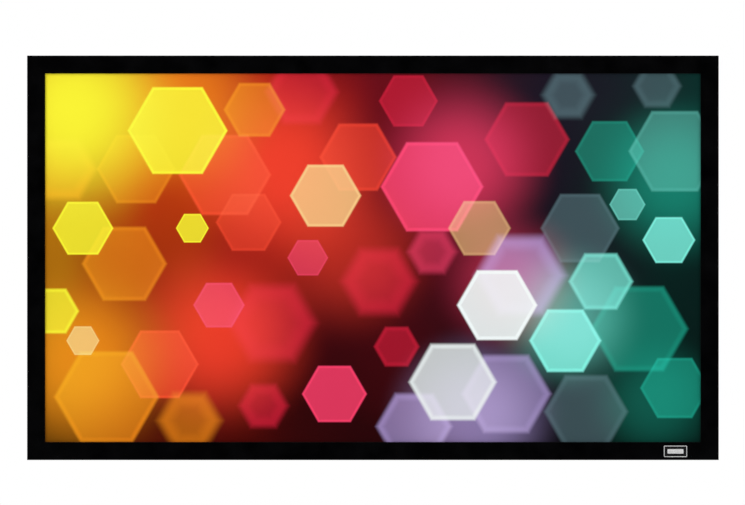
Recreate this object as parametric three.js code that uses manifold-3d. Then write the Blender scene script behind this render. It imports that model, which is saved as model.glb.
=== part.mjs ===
// A fixed frame projector screen with a 100 inch picture, seen from the front as a black border
// round one flat sheet, and hung on a wall by four brackets.
//
// Six aluminium lengths make the frame, cut at 45 degrees in the corners and butted in the middle
// of the top and bottom. Each is wrapped in black velvet. Flat steel brackets slide in the channel
// at the back of the lengths and are locked by set screws. The sheet lies behind the frame's inner
// lip. Rods run in the pockets along its four edges, and springs pull the rods out to a gutter in
// the aluminium. An upright bar behind the sheet keeps the long lengths from bowing inwards.
//
// Millimetres, +X to the viewer's right, +Y to the wall, +Z up. The origin is the middle of the
// whole screen, its wall brackets included.
import * as THREE from "three";
import { mergeVertices } from "three/addons/utils/BufferGeometryUtils.js";
import Module from "manifold-3d";

const wasm = await Module();
wasm.setup();

// The picture and the outside of the frame
const pictureWidth = 2214;
const pictureHeight = 1245;
const borderWidth = 60;
const borderDepth = 36;

// Clearances
const clearance = 0.3; // between pieces that rest on each other
const jointGap = 0.3; // the hairline where two lengths meet
const screwClearance = 0.3; // round a screw in its hole

// The velvet and the glue under it
const velvetThickness = 0.7;
const glueThickness = 0.3;
const velvetTurnBack = 6.5; // how far the velvet laps over the back edge

// The aluminium section. "Out" is measured from the picture's edge, "back" from the front face
const wall = 1.6;
const boxWall = 1.9; // round the closed box behind the front face
const innerBevelWidth = 10.3;
const innerBevelDepth = 4.6;
const outerBevelWidth = 8.3;
const outerBevelDepth = 3.3;
const lipDepth = 11; // where the inner lip ends, behind the front face
const lipFoot = 3.6; // the width of the lip's foot, which bears on the sheet
const channelWidth = 20.8;
const channelDepth = 12.8;
const channelMouth = 9.6;
const gutterWidth = 4;
const gutterWall = 1.5;
const gutterDepth = 3.6;
const gutterBehind = 12.5; // how far the gutter lies behind the front face
const edgeRadius = 0.6;
const bevelRadius = 2;
const faceRadius = 4;
const cornerSegments = 3;
const overcut = 1; // how far a cutting solid runs past the piece it cuts

// The sheet, its pockets and the rods in them
const sheetThickness = 0.5;
const weldWidth = 22; // the pocket's flap, welded to the sheet's back
const rodDiameter = 5;
const rodOut = 9.5; // the rods' axis, out from the picture's edge
const rodSides = 6;
const rodEndMargin = 50; // from the picture's corner to the end of a rod
const rodMeeting = 8; // between the two rods of a long side
const pocketEndMargin = 40;
const pocketStep = 0.05; // the pocket's fold starts this far behind the sheet's front
const sheetCornerCut = 12; // cut off each corner of the sheet, at 45 degrees
const pocketNotch = 14; // the cut in the pocket where a spring takes hold of the rod

// The springs
const springPitch = 150;
const springDiameter = 6;
const hookAtRod = 5.4; // from the rod's axis to the coil
const hookAtGutter = 3.5; // from the coil to the gutter's edge
const springWire = 1.2;
const springSides = 6;
const hookDrop = 3; // how far the hook reaches down into the gutter

// The brackets inside the channel and their set screws
const bracketThickness = 4;
const cornerArm = 100;
const cornerScrews = [38, 78]; // from the bracket's outer corner
const spliceLength = 160;
const spliceScrews = [18, 50]; // from each end of the bar
const screwDiameter = 4.6;
const screwSides = 10;
const socketAcross = 2.6;
const socketDepth = 3;

// The upright bar behind the sheet, the strap at each end and the strap's screw
const barWidth = 25;
const barDepth = 12;
const barWall = 1.2;
const strapThickness = 1.5;
const strapOverlap = 34; // the strap's length on the bar
const strapHook = 3.3; // how far the strap's end turns into the channel
const strapScrewFromEnd = 20;
const strapScrewDiameter = 3.6;
const strapScrewLength = 6;
const strapHeadDiameter = 8;
const strapHeadHeight = 1.5;

// The wall brackets
const wallPlate = 2.5;
const wallGap = 0.5; // between the frame's back and the wall bracket's plate
const wallBracketWidth = 80;
const wallBracketHeight = 45;
const wallBracketFromEnd = 567; // from the frame's outer end to the bracket's middle
const hookFree = 0.6; // from the top of a bracket's hook to the channel's side
const slotLength = 14;
const slotWidth = 6.5;
const slotSegments = 5;
const slotPlace = 22; // from the middle of the bracket
const slotBelowHook = 22;

// The blank badge
const badgeWidth = 78;
const badgeHeight = 38;
const badgeBase = 0.9;
const badgeRim = 0.5;
const badgeRimWidth = 2.2;
const badgeRadius = 2.5;
const badgeCornerSegments = 3;
const badgeFromEnd = 147; // from the frame's outer end to the badge's middle
const badgeGlue = 0.3;

// Places across the section that follow from the sizes above
const skin = velvetThickness + glueThickness;
const face = skin; // the aluminium's front, behind the velvet
const back = borderDepth - skin;
const outside = borderWidth - skin;
const inside = skin;
const outerWall = outside - wall;
const channelEdge = outerWall - channelWidth;
const web = channelEdge - wall;
const channelMiddle = (channelEdge + outerWall) / 2;
const mouthIn = channelMiddle - channelMouth / 2;
const mouthOut = channelMiddle + channelMouth / 2;
const channelLip = back - wall; // the lips' face inside the channel
const channelFloor = channelLip - channelDepth;
const gutterOut = web - gutterWidth;
const gutterIn = gutterOut - gutterWall;
const gutterFloor = gutterBehind + wall;
const gutterTop = gutterFloor + gutterDepth;
const sheetFront = lipDepth + skin + clearance;
const sheetBack = sheetFront + sheetThickness;
const rodBehind = sheetBack + clearance + rodDiameter / 2;
const pocketInner = rodDiameter / 2 + clearance;
const pocketOuter = pocketInner + sheetThickness - pocketStep;
const bracketBack = channelLip - clearance;
const bracketFront = bracketBack - bracketThickness;
const bracketWidth = channelWidth - 2 * clearance;
const hookHeight = (channelWidth - channelMouth) / 2 + clearance - hookFree;
const wallPlateFront = borderDepth + wallGap;
const wallFace = wallPlateFront + wallPlate;
const badgeFront = -(badgeGlue + badgeBase + badgeRim);
const frontY = -(wallFace + badgeFront) / 2; // the front face, so that the origin is in the middle

// Finishes
const finish = (color, roughness, metalness) =>
  new THREE.MeshStandardMaterial({ color, roughness, metalness });
const velvetBlack = finish(0x060607, 0.95, 0);
const aluminium = finish(0xb4b6b8, 0.38, 0.9);
const zincSteel = finish(0x9fa3a6, 0.42, 0.95);
const darkSteel = finish(0x2b2c2e, 0.35, 0.9);
const matteWhite = finish(0xf1f1ee, 0.85, 0);
const springSteel = finish(0xc6c8ca, 0.3, 0.9);
const blackPaint = finish(0x17181a, 0.5, 0.3);
const badgeEnamel = finish(0x0b0b0c, 0.25, 0.4);

// A closed geometry as a solid that can be joined and cut.
function solidOf(geometry) {
  const bare = geometry.index ? geometry.toNonIndexed() : geometry.clone();
  bare.deleteAttribute("normal");
  bare.deleteAttribute("uv");
  const merged = mergeVertices(bare, 1e-4);
  return new wasm.Manifold(
    new wasm.Mesh({
      numProp: 3,
      vertProperties: merged.attributes.position.array,
      triVerts: new Uint32Array(merged.index.array),
    }),
  );
}

// A solid as a geometry for a mesh.
function geometryOf(solid) {
  const { numProp, numVert, vertProperties, triVerts } = solid.getMesh();
  const positions = new Float32Array(numVert * 3);
  for (let i = 0; i < numVert; i++) {
    positions.set(vertProperties.subarray(i * numProp, i * numProp + 3), i * 3);
  }
  const geometry = new THREE.BufferGeometry();
  geometry.setAttribute("position", new THREE.BufferAttribute(positions, 3));
  geometry.setIndex(new THREE.BufferAttribute(new Uint32Array(triVerts), 1));
  geometry.computeVertexNormals();
  return geometry;
}

function joined(geometries) {
  return geometries.map(solidOf).reduce((whole, piece) => whole.add(piece));
}

function cut(solid, geometries) {
  return geometries.map(solidOf).reduce((rest, tool) => rest.subtract(tool), solid);
}

function named(name, geometry, material) {
  const mesh = new THREE.Mesh(geometry, material);
  mesh.name = name;
  return mesh;
}

// A path whose corners are rounded. Each corner is [x, y, radius].
function rounded(corners) {
  const points = [];
  corners.forEach(([x, y, radius = 0], i) => {
    const corner = new THREE.Vector2(x, y);
    const before = corners[i - 1];
    const after = corners[i + 1];
    if (!radius || !before || !after) {
      points.push(corner);
      return;
    }
    const arrive = new THREE.Vector2(before[0], before[1]).sub(corner).normalize();
    const leave = new THREE.Vector2(after[0], after[1]).sub(corner).normalize();
    const half = arrive.angleTo(leave) / 2;
    const reach = radius / Math.tan(half);
    const centre = arrive.clone().add(leave).normalize().multiplyScalar(radius / Math.sin(half));
    centre.add(corner);
    const start = corner.clone().addScaledVector(arrive, reach).sub(centre);
    const end = corner.clone().addScaledVector(leave, reach).sub(centre);
    const turn = Math.atan2(start.cross(end), start.dot(end));
    for (let step = 0; step <= cornerSegments; step++) {
      const spoke = start.clone();
      spoke.rotateAround(new THREE.Vector2(), (turn * step) / cornerSegments);
      points.push(spoke.add(centre));
    }
  });
  return points;
}

// A path moved sideways by a distance, to the right of its direction.
function offset(path, distance) {
  return path.map((point, i) => {
    const before = path[i - 1] ?? point;
    const after = path[i + 1] ?? point;
    const arrive = point.clone().sub(before).normalize();
    const leave = after.clone().sub(point).normalize();
    const along = arrive.clone().add(leave).normalize();
    const right = new THREE.Vector2(along.y, -along.x);
    const bend = arrive.lengthSq() && leave.lengthSq() ? along.dot(leave) : 1;
    return point.clone().addScaledVector(right, distance / bend);
  });
}

// The aluminium's face under the velvet, from the foot of the inner lip round to the back edge.
// Each corner is [out, back, radius].
const faceCorners = [
  [inside + lipFoot, lipDepth],
  [inside, lipDepth, edgeRadius],
  [inside, face + innerBevelDepth, bevelRadius],
  [inside + innerBevelWidth, face, faceRadius],
  [outside - outerBevelWidth, face, faceRadius],
  [outside, face + outerBevelDepth, bevelRadius],
  [outside, back, edgeRadius],
  [borderWidth - velvetTurnBack, back],
];
const velvetedPath = rounded(faceCorners);
const sharpPath = faceCorners.map(([out, behind]) => new THREE.Vector2(out, behind));

// The extrusion's section: a box and an open channel at the outside, the lip at the picture.
function aluminiumSection() {
  const [lipFootIn, lipIn, bevelIn, frontIn] = offset(sharpPath, -wall);
  const section = new THREE.Shape([
    ...velvetedPath.slice(0, -1),
    new THREE.Vector2(mouthOut, back),
    new THREE.Vector2(mouthOut, channelLip),
    new THREE.Vector2(outerWall, channelLip),
    new THREE.Vector2(outerWall, channelFloor),
    new THREE.Vector2(channelEdge, channelFloor),
    new THREE.Vector2(channelEdge, channelLip),
    new THREE.Vector2(mouthIn, channelLip),
    new THREE.Vector2(mouthIn, back),
    new THREE.Vector2(web, back),
    new THREE.Vector2(web, gutterFloor),
    new THREE.Vector2(gutterOut, gutterFloor),
    new THREE.Vector2(gutterOut, gutterTop),
    new THREE.Vector2(gutterIn, gutterTop),
    new THREE.Vector2(gutterIn, gutterBehind),
    new THREE.Vector2(web, gutterBehind),
    new THREE.Vector2(web, face + wall),
    frontIn,
    bevelIn,
    lipIn,
    lipFootIn,
  ]);
  const [, , , , boxFront, boxSide] = offset(sharpPath, -boxWall);
  section.holes.push(
    new THREE.Path([
      new THREE.Vector2(channelEdge, face + boxWall),
      boxFront,
      boxSide,
      new THREE.Vector2(outside - boxWall, channelFloor - boxWall),
      new THREE.Vector2(channelEdge, channelFloor - boxWall),
    ]),
  );
  return section;
}

// The velvet's section: a band of even thickness round the aluminium's face.
function velvetSection() {
  const under = offset(velvetedPath, glueThickness);
  const over = offset(velvetedPath, skin);
  return new THREE.Shape([...over, ...under.reverse()]);
}

// A section drawn as (out, back), run along X between two ends that may be cut at an angle.
// startAt and endAt give X for each distance out.
function extrusion(section, startAt, endAt) {
  const geometry = new THREE.ExtrudeGeometry(section, { depth: 1, bevelEnabled: false });
  const points = geometry.getAttribute("position");
  for (let i = 0; i < points.count; i++) {
    const out = points.getX(i);
    const behind = points.getY(i);
    const x = points.getZ(i) > 0.5 ? startAt(out) : endAt(out);
    points.setXYZ(i, x, behind + frontY, out);
  }
  return geometry;
}

// A shape drawn as (X, Z), as thick as it is told, with its front face at a distance back.
function plate(shape, front, thickness, curveSegments = 1) {
  const geometry = new THREE.ExtrudeGeometry(shape, {
    depth: thickness,
    bevelEnabled: false,
    curveSegments,
  });
  geometry.rotateX(Math.PI / 2);
  geometry.translate(0, frontY + front + thickness, 0);
  return geometry;
}

function rectangle(left, bottom, right, top, radius = 0) {
  const shape = new THREE.Shape();
  shape.moveTo(left + radius, bottom);
  shape.lineTo(right - radius, bottom);
  if (radius) shape.absarc(right - radius, bottom + radius, radius, -Math.PI / 2, 0);
  shape.lineTo(right, top - radius);
  if (radius) shape.absarc(right - radius, top - radius, radius, 0, Math.PI / 2);
  shape.lineTo(left + radius, top);
  if (radius) shape.absarc(left + radius, top - radius, radius, Math.PI / 2, Math.PI);
  shape.lineTo(left, bottom + radius);
  if (radius) shape.absarc(left + radius, bottom + radius, radius, Math.PI, 1.5 * Math.PI);
  return shape;
}

// A prism along Y with the stated number of sides, between two distances back.
function pin(radius, sides, front, rear, x, z) {
  const geometry = new THREE.CylinderGeometry(radius, radius, rear - front, sides);
  geometry.translate(x, frontY + (front + rear) / 2, z);
  return geometry;
}

// The four sides. Each has its own group, turned so that its +Z points away from the picture,
// with its origin at the picture's edge.
const whole = new THREE.Group();
const sides = {};
const across = pictureWidth / 2;
const upright = pictureHeight / 2;
[
  ["top", 0, upright, across],
  ["right", 90, across, upright],
  ["bottom", 180, upright, across],
  ["left", 270, across, upright],
].forEach(([name, degrees, toEdge, halfLength]) => {
  const turned = new THREE.Group();
  turned.rotation.y = THREE.MathUtils.degToRad(degrees);
  const group = new THREE.Group();
  group.position.z = toEdge;
  turned.add(group);
  whole.add(turned);
  sides[name] = { group, halfLength };
});

// The frame's six lengths and their velvet
const mitreStart = (halfLength) => (out) => -halfLength - out + jointGap / 2;
const mitreEnd = (halfLength) => (out) => halfLength + out - jointGap / 2;
const buttStart = () => jointGap / 2;
const buttEnd = () => -jointGap / 2;

function addLength(side, name, startAt, endAt) {
  const { group } = sides[side];
  group.add(named(name, extrusion(aluminiumSection(), startAt, endAt), aluminium));
  group.add(named(`${name}_velvet`, extrusion(velvetSection(), startAt, endAt), velvetBlack));
}

addLength("top", "top_rail_left", mitreStart(across), buttEnd);
addLength("top", "top_rail_right", buttStart, mitreEnd(across));
addLength("bottom", "bottom_rail_right", mitreStart(across), buttEnd);
addLength("bottom", "bottom_rail_left", buttStart, mitreEnd(across));
addLength("left", "left_stile", mitreStart(upright), mitreEnd(upright));
addLength("right", "right_stile", mitreStart(upright), mitreEnd(upright));

// A set screw with a six-sided socket, standing on the channel's floor.
function setScrew(x, z) {
  const shaft = pin(screwDiameter / 2, screwSides, channelFloor + clearance, bracketBack, x, z);
  const socketRear = bracketBack + overcut;
  const socket = pin(socketAcross / 2, 6, bracketBack - socketDepth, socketRear, x, z);
  return geometryOf(cut(solidOf(shaft), [socket]));
}

function screwHole(x, z) {
  const radius = screwDiameter / 2 + screwClearance;
  return pin(radius, screwSides, bracketFront - overcut, bracketBack + overcut, x, z);
}

// A flat bracket in the channel with a threaded hole at each place, and its set screws.
function addChannelBracket(group, name, shape, places) {
  const blank = solidOf(plate(shape, bracketFront, bracketThickness));
  const holes = places.map(([x, z]) => screwHole(x, z));
  group.add(named(name, geometryOf(cut(blank, holes)), zincSteel));
  places.forEach(([x, z], i) => {
    group.add(named(`${name}_set_screw_${i + 1}`, setScrew(x, z), darkSteel));
  });
}

// A corner bracket: an L whose two arms lie in the channels of the lengths that meet there.
function cornerShape() {
  const outer = channelMiddle + bracketWidth / 2;
  const inner = channelMiddle - bracketWidth / 2;
  const tip = outer - cornerArm;
  return new THREE.Shape(
    [
      [outer, outer],
      [tip, outer],
      [tip, inner],
      [inner, inner],
      [inner, tip],
      [outer, tip],
    ].map(([x, z]) => new THREE.Vector2(x, z)),
  );
}

[
  ["corner_bracket_top_right", 0, across, upright],
  ["corner_bracket_bottom_right", 90, across, -upright],
  ["corner_bracket_bottom_left", 180, -across, -upright],
  ["corner_bracket_top_left", 270, -across, upright],
].forEach(([name, degrees, x, z]) => {
  const group = new THREE.Group();
  group.rotation.y = THREE.MathUtils.degToRad(degrees);
  group.position.set(x, 0, z);
  whole.add(group);
  const outer = channelMiddle + bracketWidth / 2;
  const places = cornerScrews.flatMap((far) => [
    [outer - far, channelMiddle],
    [channelMiddle, outer - far],
  ]);
  addChannelBracket(group, name, cornerShape(), places);
});

// The splice bars, which join the two lengths of the top and of the bottom.
["top", "bottom"].forEach((side) => {
  const half = spliceLength / 2;
  const low = channelMiddle - bracketWidth / 2;
  const shape = rectangle(-half, low, half, low + bracketWidth);
  const places = spliceScrews.flatMap((far) => [
    [far - half, channelMiddle],
    [half - far, channelMiddle],
  ]);
  addChannelBracket(sides[side].group, `splice_bar_${side}`, shape, places);
});

// The rods. Each entry is a side, a name and the two ends along the side.
const longEnd = across - rodEndMargin;
const shortEnd = upright - rodEndMargin;
const rods = [
  ["top", "top_left", -longEnd, -rodMeeting / 2],
  ["top", "top_right", rodMeeting / 2, longEnd],
  ["bottom", "bottom_right", -longEnd, -rodMeeting / 2],
  ["bottom", "bottom_left", rodMeeting / 2, longEnd],
  ["left", "left", -shortEnd, shortEnd],
  ["right", "right", -shortEnd, shortEnd],
];

// Where the springs take hold of a rod: as many as fit at about the stated pitch.
function springPlaces(from, to) {
  const count = Math.max(1, Math.round((to - from) / springPitch));
  return Array.from({ length: count }, (_, i) => from + ((i + 0.5) * (to - from)) / count);
}

// A rod, flat to flat as wide as its diameter, its flats turned as the pocket's are.
function rodGeometry(from, to) {
  const radius = rodDiameter / 2 / Math.cos(Math.PI / rodSides);
  const turn = Math.PI / 2 + Math.PI / rodSides;
  const length = to - from;
  const geometry = new THREE.CylinderGeometry(radius, radius, length, rodSides, 1, false, turn);
  geometry.rotateZ(Math.PI / 2);
  geometry.translate((from + to) / 2, frontY + rodBehind, rodOut);
  return geometry;
}

// A spring: the wire, bent over the gutter's edge at one end, and the coil as a plain cylinder.
function springGeometries(x) {
  const half = springWire / 2;
  const overEdge = gutterTop + clearance + half;
  const inGutter = gutterOut + clearance + half;
  const beforeEdge = gutterIn - clearance - half;
  const slope = Math.atan2(overEdge - rodBehind, beforeEdge - rodOut);
  const span = Math.hypot(overEdge - rodBehind, beforeEdge - rodOut);
  const coilLength = span - hookAtRod - hookAtGutter;
  const line = [
    [rodOut, rodBehind],
    [beforeEdge, overEdge],
    [inGutter, overEdge],
    [inGutter, overEdge - hookDrop],
  ].map(([out, behind]) => new THREE.Vector2(out, behind));
  const outline = new THREE.Shape([...offset(line, half), ...offset(line, -half).reverse()]);
  const wire = extrusion(
    outline,
    () => x - half,
    () => x + half,
  );
  const coilRadius = springDiameter / 2;
  const coil = new THREE.CylinderGeometry(coilRadius, coilRadius, coilLength, springSides);
  const middle = hookAtRod + coilLength / 2;
  coil.rotateX(Math.PI / 2 - slope);
  coil.translate(
    x,
    frontY + rodBehind + middle * Math.sin(slope),
    rodOut + middle * Math.cos(slope),
  );
  return [wire, coil];
}

rods.forEach(([side, name, from, to]) => {
  const springs = springPlaces(from, to).flatMap(springGeometries);
  const solid = joined([rodGeometry(from, to), ...springs]);
  sides[side].group.add(named(`${name}_rod_and_springs`, geometryOf(solid), springSteel));
});

// The sheet: one flat piece whose edges are folded back round the rods and welded, and notched
// where the springs reach in.
function pocketSection() {
  const ring = (radius) =>
    Array.from({ length: rodSides }, (_, i) => {
      const angle = ((i + 0.5) * 2 * Math.PI) / rodSides - Math.PI / 2;
      const corner = radius / Math.cos(Math.PI / rodSides);
      return new THREE.Vector2(
        rodOut + corner * Math.cos(angle),
        rodBehind + corner * Math.sin(angle),
      );
    });
  const section = new THREE.Shape(ring(pocketOuter));
  section.holes.push(new THREE.Path(ring(pocketInner)));
  return section;
}

function sheetGeometry() {
  const wide = across + rodOut;
  const tall = upright + rodOut;
  const clip = sheetCornerCut;
  const outline = new THREE.Shape(
    [
      [wide, tall - clip],
      [wide - clip, tall],
      [clip - wide, tall],
      [-wide, tall - clip],
      [-wide, clip - tall],
      [clip - wide, -tall],
      [wide - clip, -tall],
      [wide, clip - tall],
    ].map(([x, z]) => new THREE.Vector2(x, z)),
  );
  let sheet = solidOf(plate(outline, sheetFront, sheetThickness));
  whole.updateMatrixWorld(true);
  Object.values(sides).forEach(({ group, halfLength }) => {
    const end = halfLength - pocketEndMargin;
    const pocket = extrusion(
      pocketSection(),
      () => -end,
      () => end,
    );
    const inner = rodOut - pocketOuter - weldWidth;
    const flapShape = rectangle(-end, inner, end, rodOut - pocketInner);
    const flap = plate(flapShape, sheetFront + pocketStep, 2 * sheetThickness - pocketStep);
    sheet = sheet.add(solidOf(pocket.applyMatrix4(group.matrixWorld)));
    sheet = sheet.add(solidOf(flap.applyMatrix4(group.matrixWorld)));
  });
  const notchDepth = 4 * pocketOuter;
  rods.forEach(([side, , from, to]) => {
    springPlaces(from, to).forEach((x) => {
      const notch = new THREE.BoxGeometry(pocketNotch, notchDepth, notchDepth);
      notch.translate(x, frontY + rodBehind, rodOut - pocketOuter + notchDepth / 2);
      sheet = sheet.subtract(solidOf(notch.applyMatrix4(sides[side].group.matrixWorld)));
    });
  });
  return geometryOf(sheet);
}

whole.add(named("projection_sheet", sheetGeometry(), matteWhite));

// The upright bar: a square-cornered tube between the webs of the top and bottom lengths.
const barEnd = upright + web - clearance;
const barBack = back;
const barFront = barBack - barDepth;
const screwHeight = upright - strapScrewFromEnd;

function barGeometry() {
  const half = barWidth / 2;
  const section = rectangle(-half, frontY + barFront, half, frontY + barBack);
  section.holes.push(
    rectangle(
      -half + barWall,
      frontY + barFront + barWall,
      half - barWall,
      frontY + barBack - barWall,
    ),
  );
  const tube = new THREE.ExtrudeGeometry(section, { depth: 2 * barEnd, bevelEnabled: false });
  tube.translate(0, 0, -barEnd);
  const radius = strapScrewDiameter / 2 + screwClearance;
  const holes = [-screwHeight, screwHeight].map((z) =>
    pin(radius, screwSides, barBack - 2 * barWall, barBack + overcut, 0, z),
  );
  return geometryOf(cut(solidOf(tube), holes));
}

whole.add(named("support_bar", barGeometry(), aluminium));

// The strap at each end of the bar hooks over the channel's lip, held by one screw.
["top", "bottom"].forEach((side) => {
  const front = back + clearance;
  const rear = front + strapThickness;
  const start = -strapOverlap;
  const hookIn = mouthIn + clearance;
  const section = new THREE.Shape(
    [
      [start, front],
      [hookIn, front],
      [hookIn, rear - strapHook],
      [hookIn + strapThickness, rear - strapHook],
      [hookIn + strapThickness, rear],
      [start, rear],
    ].map(([out, behind]) => new THREE.Vector2(out, behind)),
  );
  const half = barWidth / 2;
  const blank = extrusion(
    section,
    () => -half,
    () => half,
  );
  const place = screwHeight - upright;
  const shaft = strapScrewDiameter / 2;
  const holeRadius = shaft + screwClearance;
  const hole = pin(holeRadius, screwSides, front - overcut, rear + overcut, 0, place);
  const headFront = rear + clearance;
  const head = pin(
    strapHeadDiameter / 2,
    screwSides,
    headFront,
    headFront + strapHeadHeight,
    0,
    place,
  );
  const shankRear = headFront + strapHeadHeight / 2;
  const shank = pin(shaft, screwSides, headFront - strapScrewLength, shankRear, 0, place);
  const { group } = sides[side];
  group.add(named(`support_strap_${side}`, geometryOf(cut(solidOf(blank), [hole])), zincSteel));
  const screw = geometryOf(joined([head, shank]));
  group.add(named(`support_strap_screw_${side}`, screw, darkSteel));
});

// The wall brackets. The upper pair carries the frame by the outer lip of the top channel and
// hangs its plate down. The lower pair holds the inner lip of the bottom channel, plate upwards.
// Heights are along the bracket, up from the ledge that the lip rests on.
function slotShape(x, z) {
  const radius = slotWidth / 2;
  const reach = slotLength / 2 - radius;
  const shape = new THREE.Shape();
  shape.absarc(x + reach, z, radius, -Math.PI / 2, Math.PI / 2);
  shape.absarc(x - reach, z, radius, Math.PI / 2, 1.5 * Math.PI);
  return shape;
}

function wallBracketGeometry(plateUp) {
  const hookBack = channelLip - clearance;
  const hookFront = hookBack - wallPlate;
  const plateEnd = plateUp ? wallBracketHeight - wallPlate : -wallBracketHeight;
  const section = plateUp
    ? [
        [hookHeight, hookFront],
        [-wallPlate, hookFront],
        [-wallPlate, wallFace],
        [plateEnd, wallFace],
        [plateEnd, wallPlateFront],
        [0, wallPlateFront],
        [0, hookBack],
        [hookHeight, hookBack],
      ]
    : [
        [hookHeight, hookFront],
        [-wallPlate, hookFront],
        [-wallPlate, wallPlateFront],
        [plateEnd, wallPlateFront],
        [plateEnd, wallFace],
        [0, wallFace],
        [0, hookBack],
        [hookHeight, hookBack],
      ];
  const half = wallBracketWidth / 2;
  const blank = extrusion(
    new THREE.Shape(section.map(([up, behind]) => new THREE.Vector2(up, behind))),
    () => -half,
    () => half,
  );
  const slotHeight = plateUp ? slotBelowHook : -slotBelowHook;
  const cutFront = wallPlateFront - overcut;
  const cutThickness = wallPlate + 2 * overcut;
  const slots = [-slotPlace, slotPlace].map((x) =>
    plate(slotShape(x, slotHeight), cutFront, cutThickness, slotSegments),
  );
  return geometryOf(cut(solidOf(blank), slots));
}

const frameEnd = across + borderWidth;
const wallBracketPlace = frameEnd - wallBracketFromEnd;
const topLedge = upright + mouthOut - clearance;
const bottomLedge = -upright - mouthIn - clearance;
[
  ["wall_bracket_top_left", -wallBracketPlace, topLedge, false],
  ["wall_bracket_top_right", wallBracketPlace, topLedge, false],
  ["wall_bracket_bottom_left", -wallBracketPlace, bottomLedge, true],
  ["wall_bracket_bottom_right", wallBracketPlace, bottomLedge, true],
].forEach(([name, x, z, plateUp]) => {
  const bracket = named(name, wallBracketGeometry(plateUp), blackPaint);
  bracket.position.set(x, 0, z);
  whole.add(bracket);
});

// The blank badge on the bottom border: a small plate with a raised rim.
function badgeGeometry() {
  const w = badgeWidth / 2;
  const h = badgeHeight / 2;
  const blank = rectangle(-w, -h, w, h, badgeRadius);
  const slab = plate(blank, badgeFront, badgeBase + badgeRim, badgeCornerSegments);
  const field = rectangle(
    -w + badgeRimWidth,
    -h + badgeRimWidth,
    w - badgeRimWidth,
    h - badgeRimWidth,
  );
  const sunk = plate(field, badgeFront - overcut, badgeRim + overcut);
  return geometryOf(cut(solidOf(slab), [sunk]));
}

const badge = named("badge_plate", badgeGeometry(), badgeEnamel);
badge.position.set(frameEnd - badgeFromEnd, 0, -upright - borderWidth / 2);
whole.add(badge);

export default whole;
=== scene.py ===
# %% [markdown]
# # A fixed frame projector screen
# A fixed frame screen is a flat sheet stretched inside a frame and hung on a wall like a picture.
# From the front only three things show: a black velvet border, the picture on the sheet, and a
# small badge. The work is at the back: an aluminium extrusion with a channel, flat steel brackets
# locked by set screws, rods in the sheet's hems, and springs that pull them to the frame.
#
# The construction is there already, as plain solids of the real size, each in its place. The cells
# take one kind of piece at a time, give it its fine surface and its finish, and let it stand for
# the plain solid. Everything is in metres, with +X to the viewer's right, +Y to the wall and +Z up.

import math

import bmesh
import bpy
from mathutils import Matrix, Vector


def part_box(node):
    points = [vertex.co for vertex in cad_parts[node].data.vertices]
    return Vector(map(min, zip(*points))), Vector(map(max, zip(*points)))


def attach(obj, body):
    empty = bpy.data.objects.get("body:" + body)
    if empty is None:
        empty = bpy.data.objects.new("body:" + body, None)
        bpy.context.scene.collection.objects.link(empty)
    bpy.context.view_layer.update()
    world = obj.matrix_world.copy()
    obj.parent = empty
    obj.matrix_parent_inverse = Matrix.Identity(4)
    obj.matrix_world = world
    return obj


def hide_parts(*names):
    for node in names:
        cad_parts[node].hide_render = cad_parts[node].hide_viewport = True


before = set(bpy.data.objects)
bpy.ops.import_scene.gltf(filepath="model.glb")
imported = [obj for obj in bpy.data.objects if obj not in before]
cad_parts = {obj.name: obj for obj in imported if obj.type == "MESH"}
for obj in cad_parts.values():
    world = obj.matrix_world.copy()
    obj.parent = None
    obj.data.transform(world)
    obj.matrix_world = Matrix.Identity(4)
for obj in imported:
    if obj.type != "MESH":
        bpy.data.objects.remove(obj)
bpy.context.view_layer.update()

# %% [markdown]
# ## Sizes
# A screen is sold by the size of its picture, and the border's section is the same at every size.
# The big sizes could be typed in again, but here they are read off the loaded frame, so the looks
# always fit it. Two words are used throughout: "out" is measured from the picture's edge outwards,
# and "back" from the border's front face to the wall.

# %% Sizes off the frame
MM = 0.001
velvet_low, velvet_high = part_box("right_stile_velvet")
ACROSS = velvet_low.x  # half the picture's width
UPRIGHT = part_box("top_rail_left_velvet")[0].z  # half its height
BORDER = velvet_high.x - velvet_low.x
DEPTH = velvet_high.y - velvet_low.y
FRONT = velvet_low.y
CLEARANCE = 0.3 * MM  # between pieces that rest on each other
print("picture", round(2 * ACROSS, 4), "by", round(2 * UPRIGHT, 4), "border", round(BORDER, 4))

# %% [markdown]
# ## Four sides from one
# The four sides of the frame are alike. Each could be drawn in its own place with the signs turned
# round, which is where mistakes come from. So each piece is drawn once, on the top side, with X
# along the side, Y to the wall and Z outwards from the picture's edge, and then a turn about Y and
# a shift put it on its own side. The turn goes into the mesh, because a finished piece stands at
# the origin, unturned.

# %% Turn a mesh to its side
SIDE_TURN = {"top": 0, "right": 90, "bottom": 180, "left": 270}
SIDE_HALF = {"top": ACROSS, "right": UPRIGHT, "bottom": ACROSS, "left": UPRIGHT}
SIDE_EDGE = {"top": UPRIGHT, "right": ACROSS, "bottom": UPRIGHT, "left": ACROSS}


def side_matrix(side):
    turn = Matrix.Rotation(math.radians(SIDE_TURN[side]), 4, "Y")
    return turn @ Matrix.Translation((0, FRONT, SIDE_EDGE[side]))


for side in SIDE_TURN:
    print(side, "side starts at", [round(c, 4) for c in side_matrix(side).translation])

# %% [markdown]
# ## Working by hand, in code
# A hand on the mouse clears the selection, picks an object and presses a key. A script that calls
# the same operators has to do the same, because an operator acts on all that is selected, and the
# frame arrives selected. The meshes could be typed in as lists of points, but operators and
# modifiers are what a reader meets in Blender itself, and they say what is being done.

# %% Pick one piece and apply a modifier to it
def clean_start():
    if bpy.context.object and bpy.context.object.mode != "OBJECT":
        bpy.ops.object.mode_set(mode="OBJECT")
    bpy.ops.object.select_all(action="DESELECT")


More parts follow.
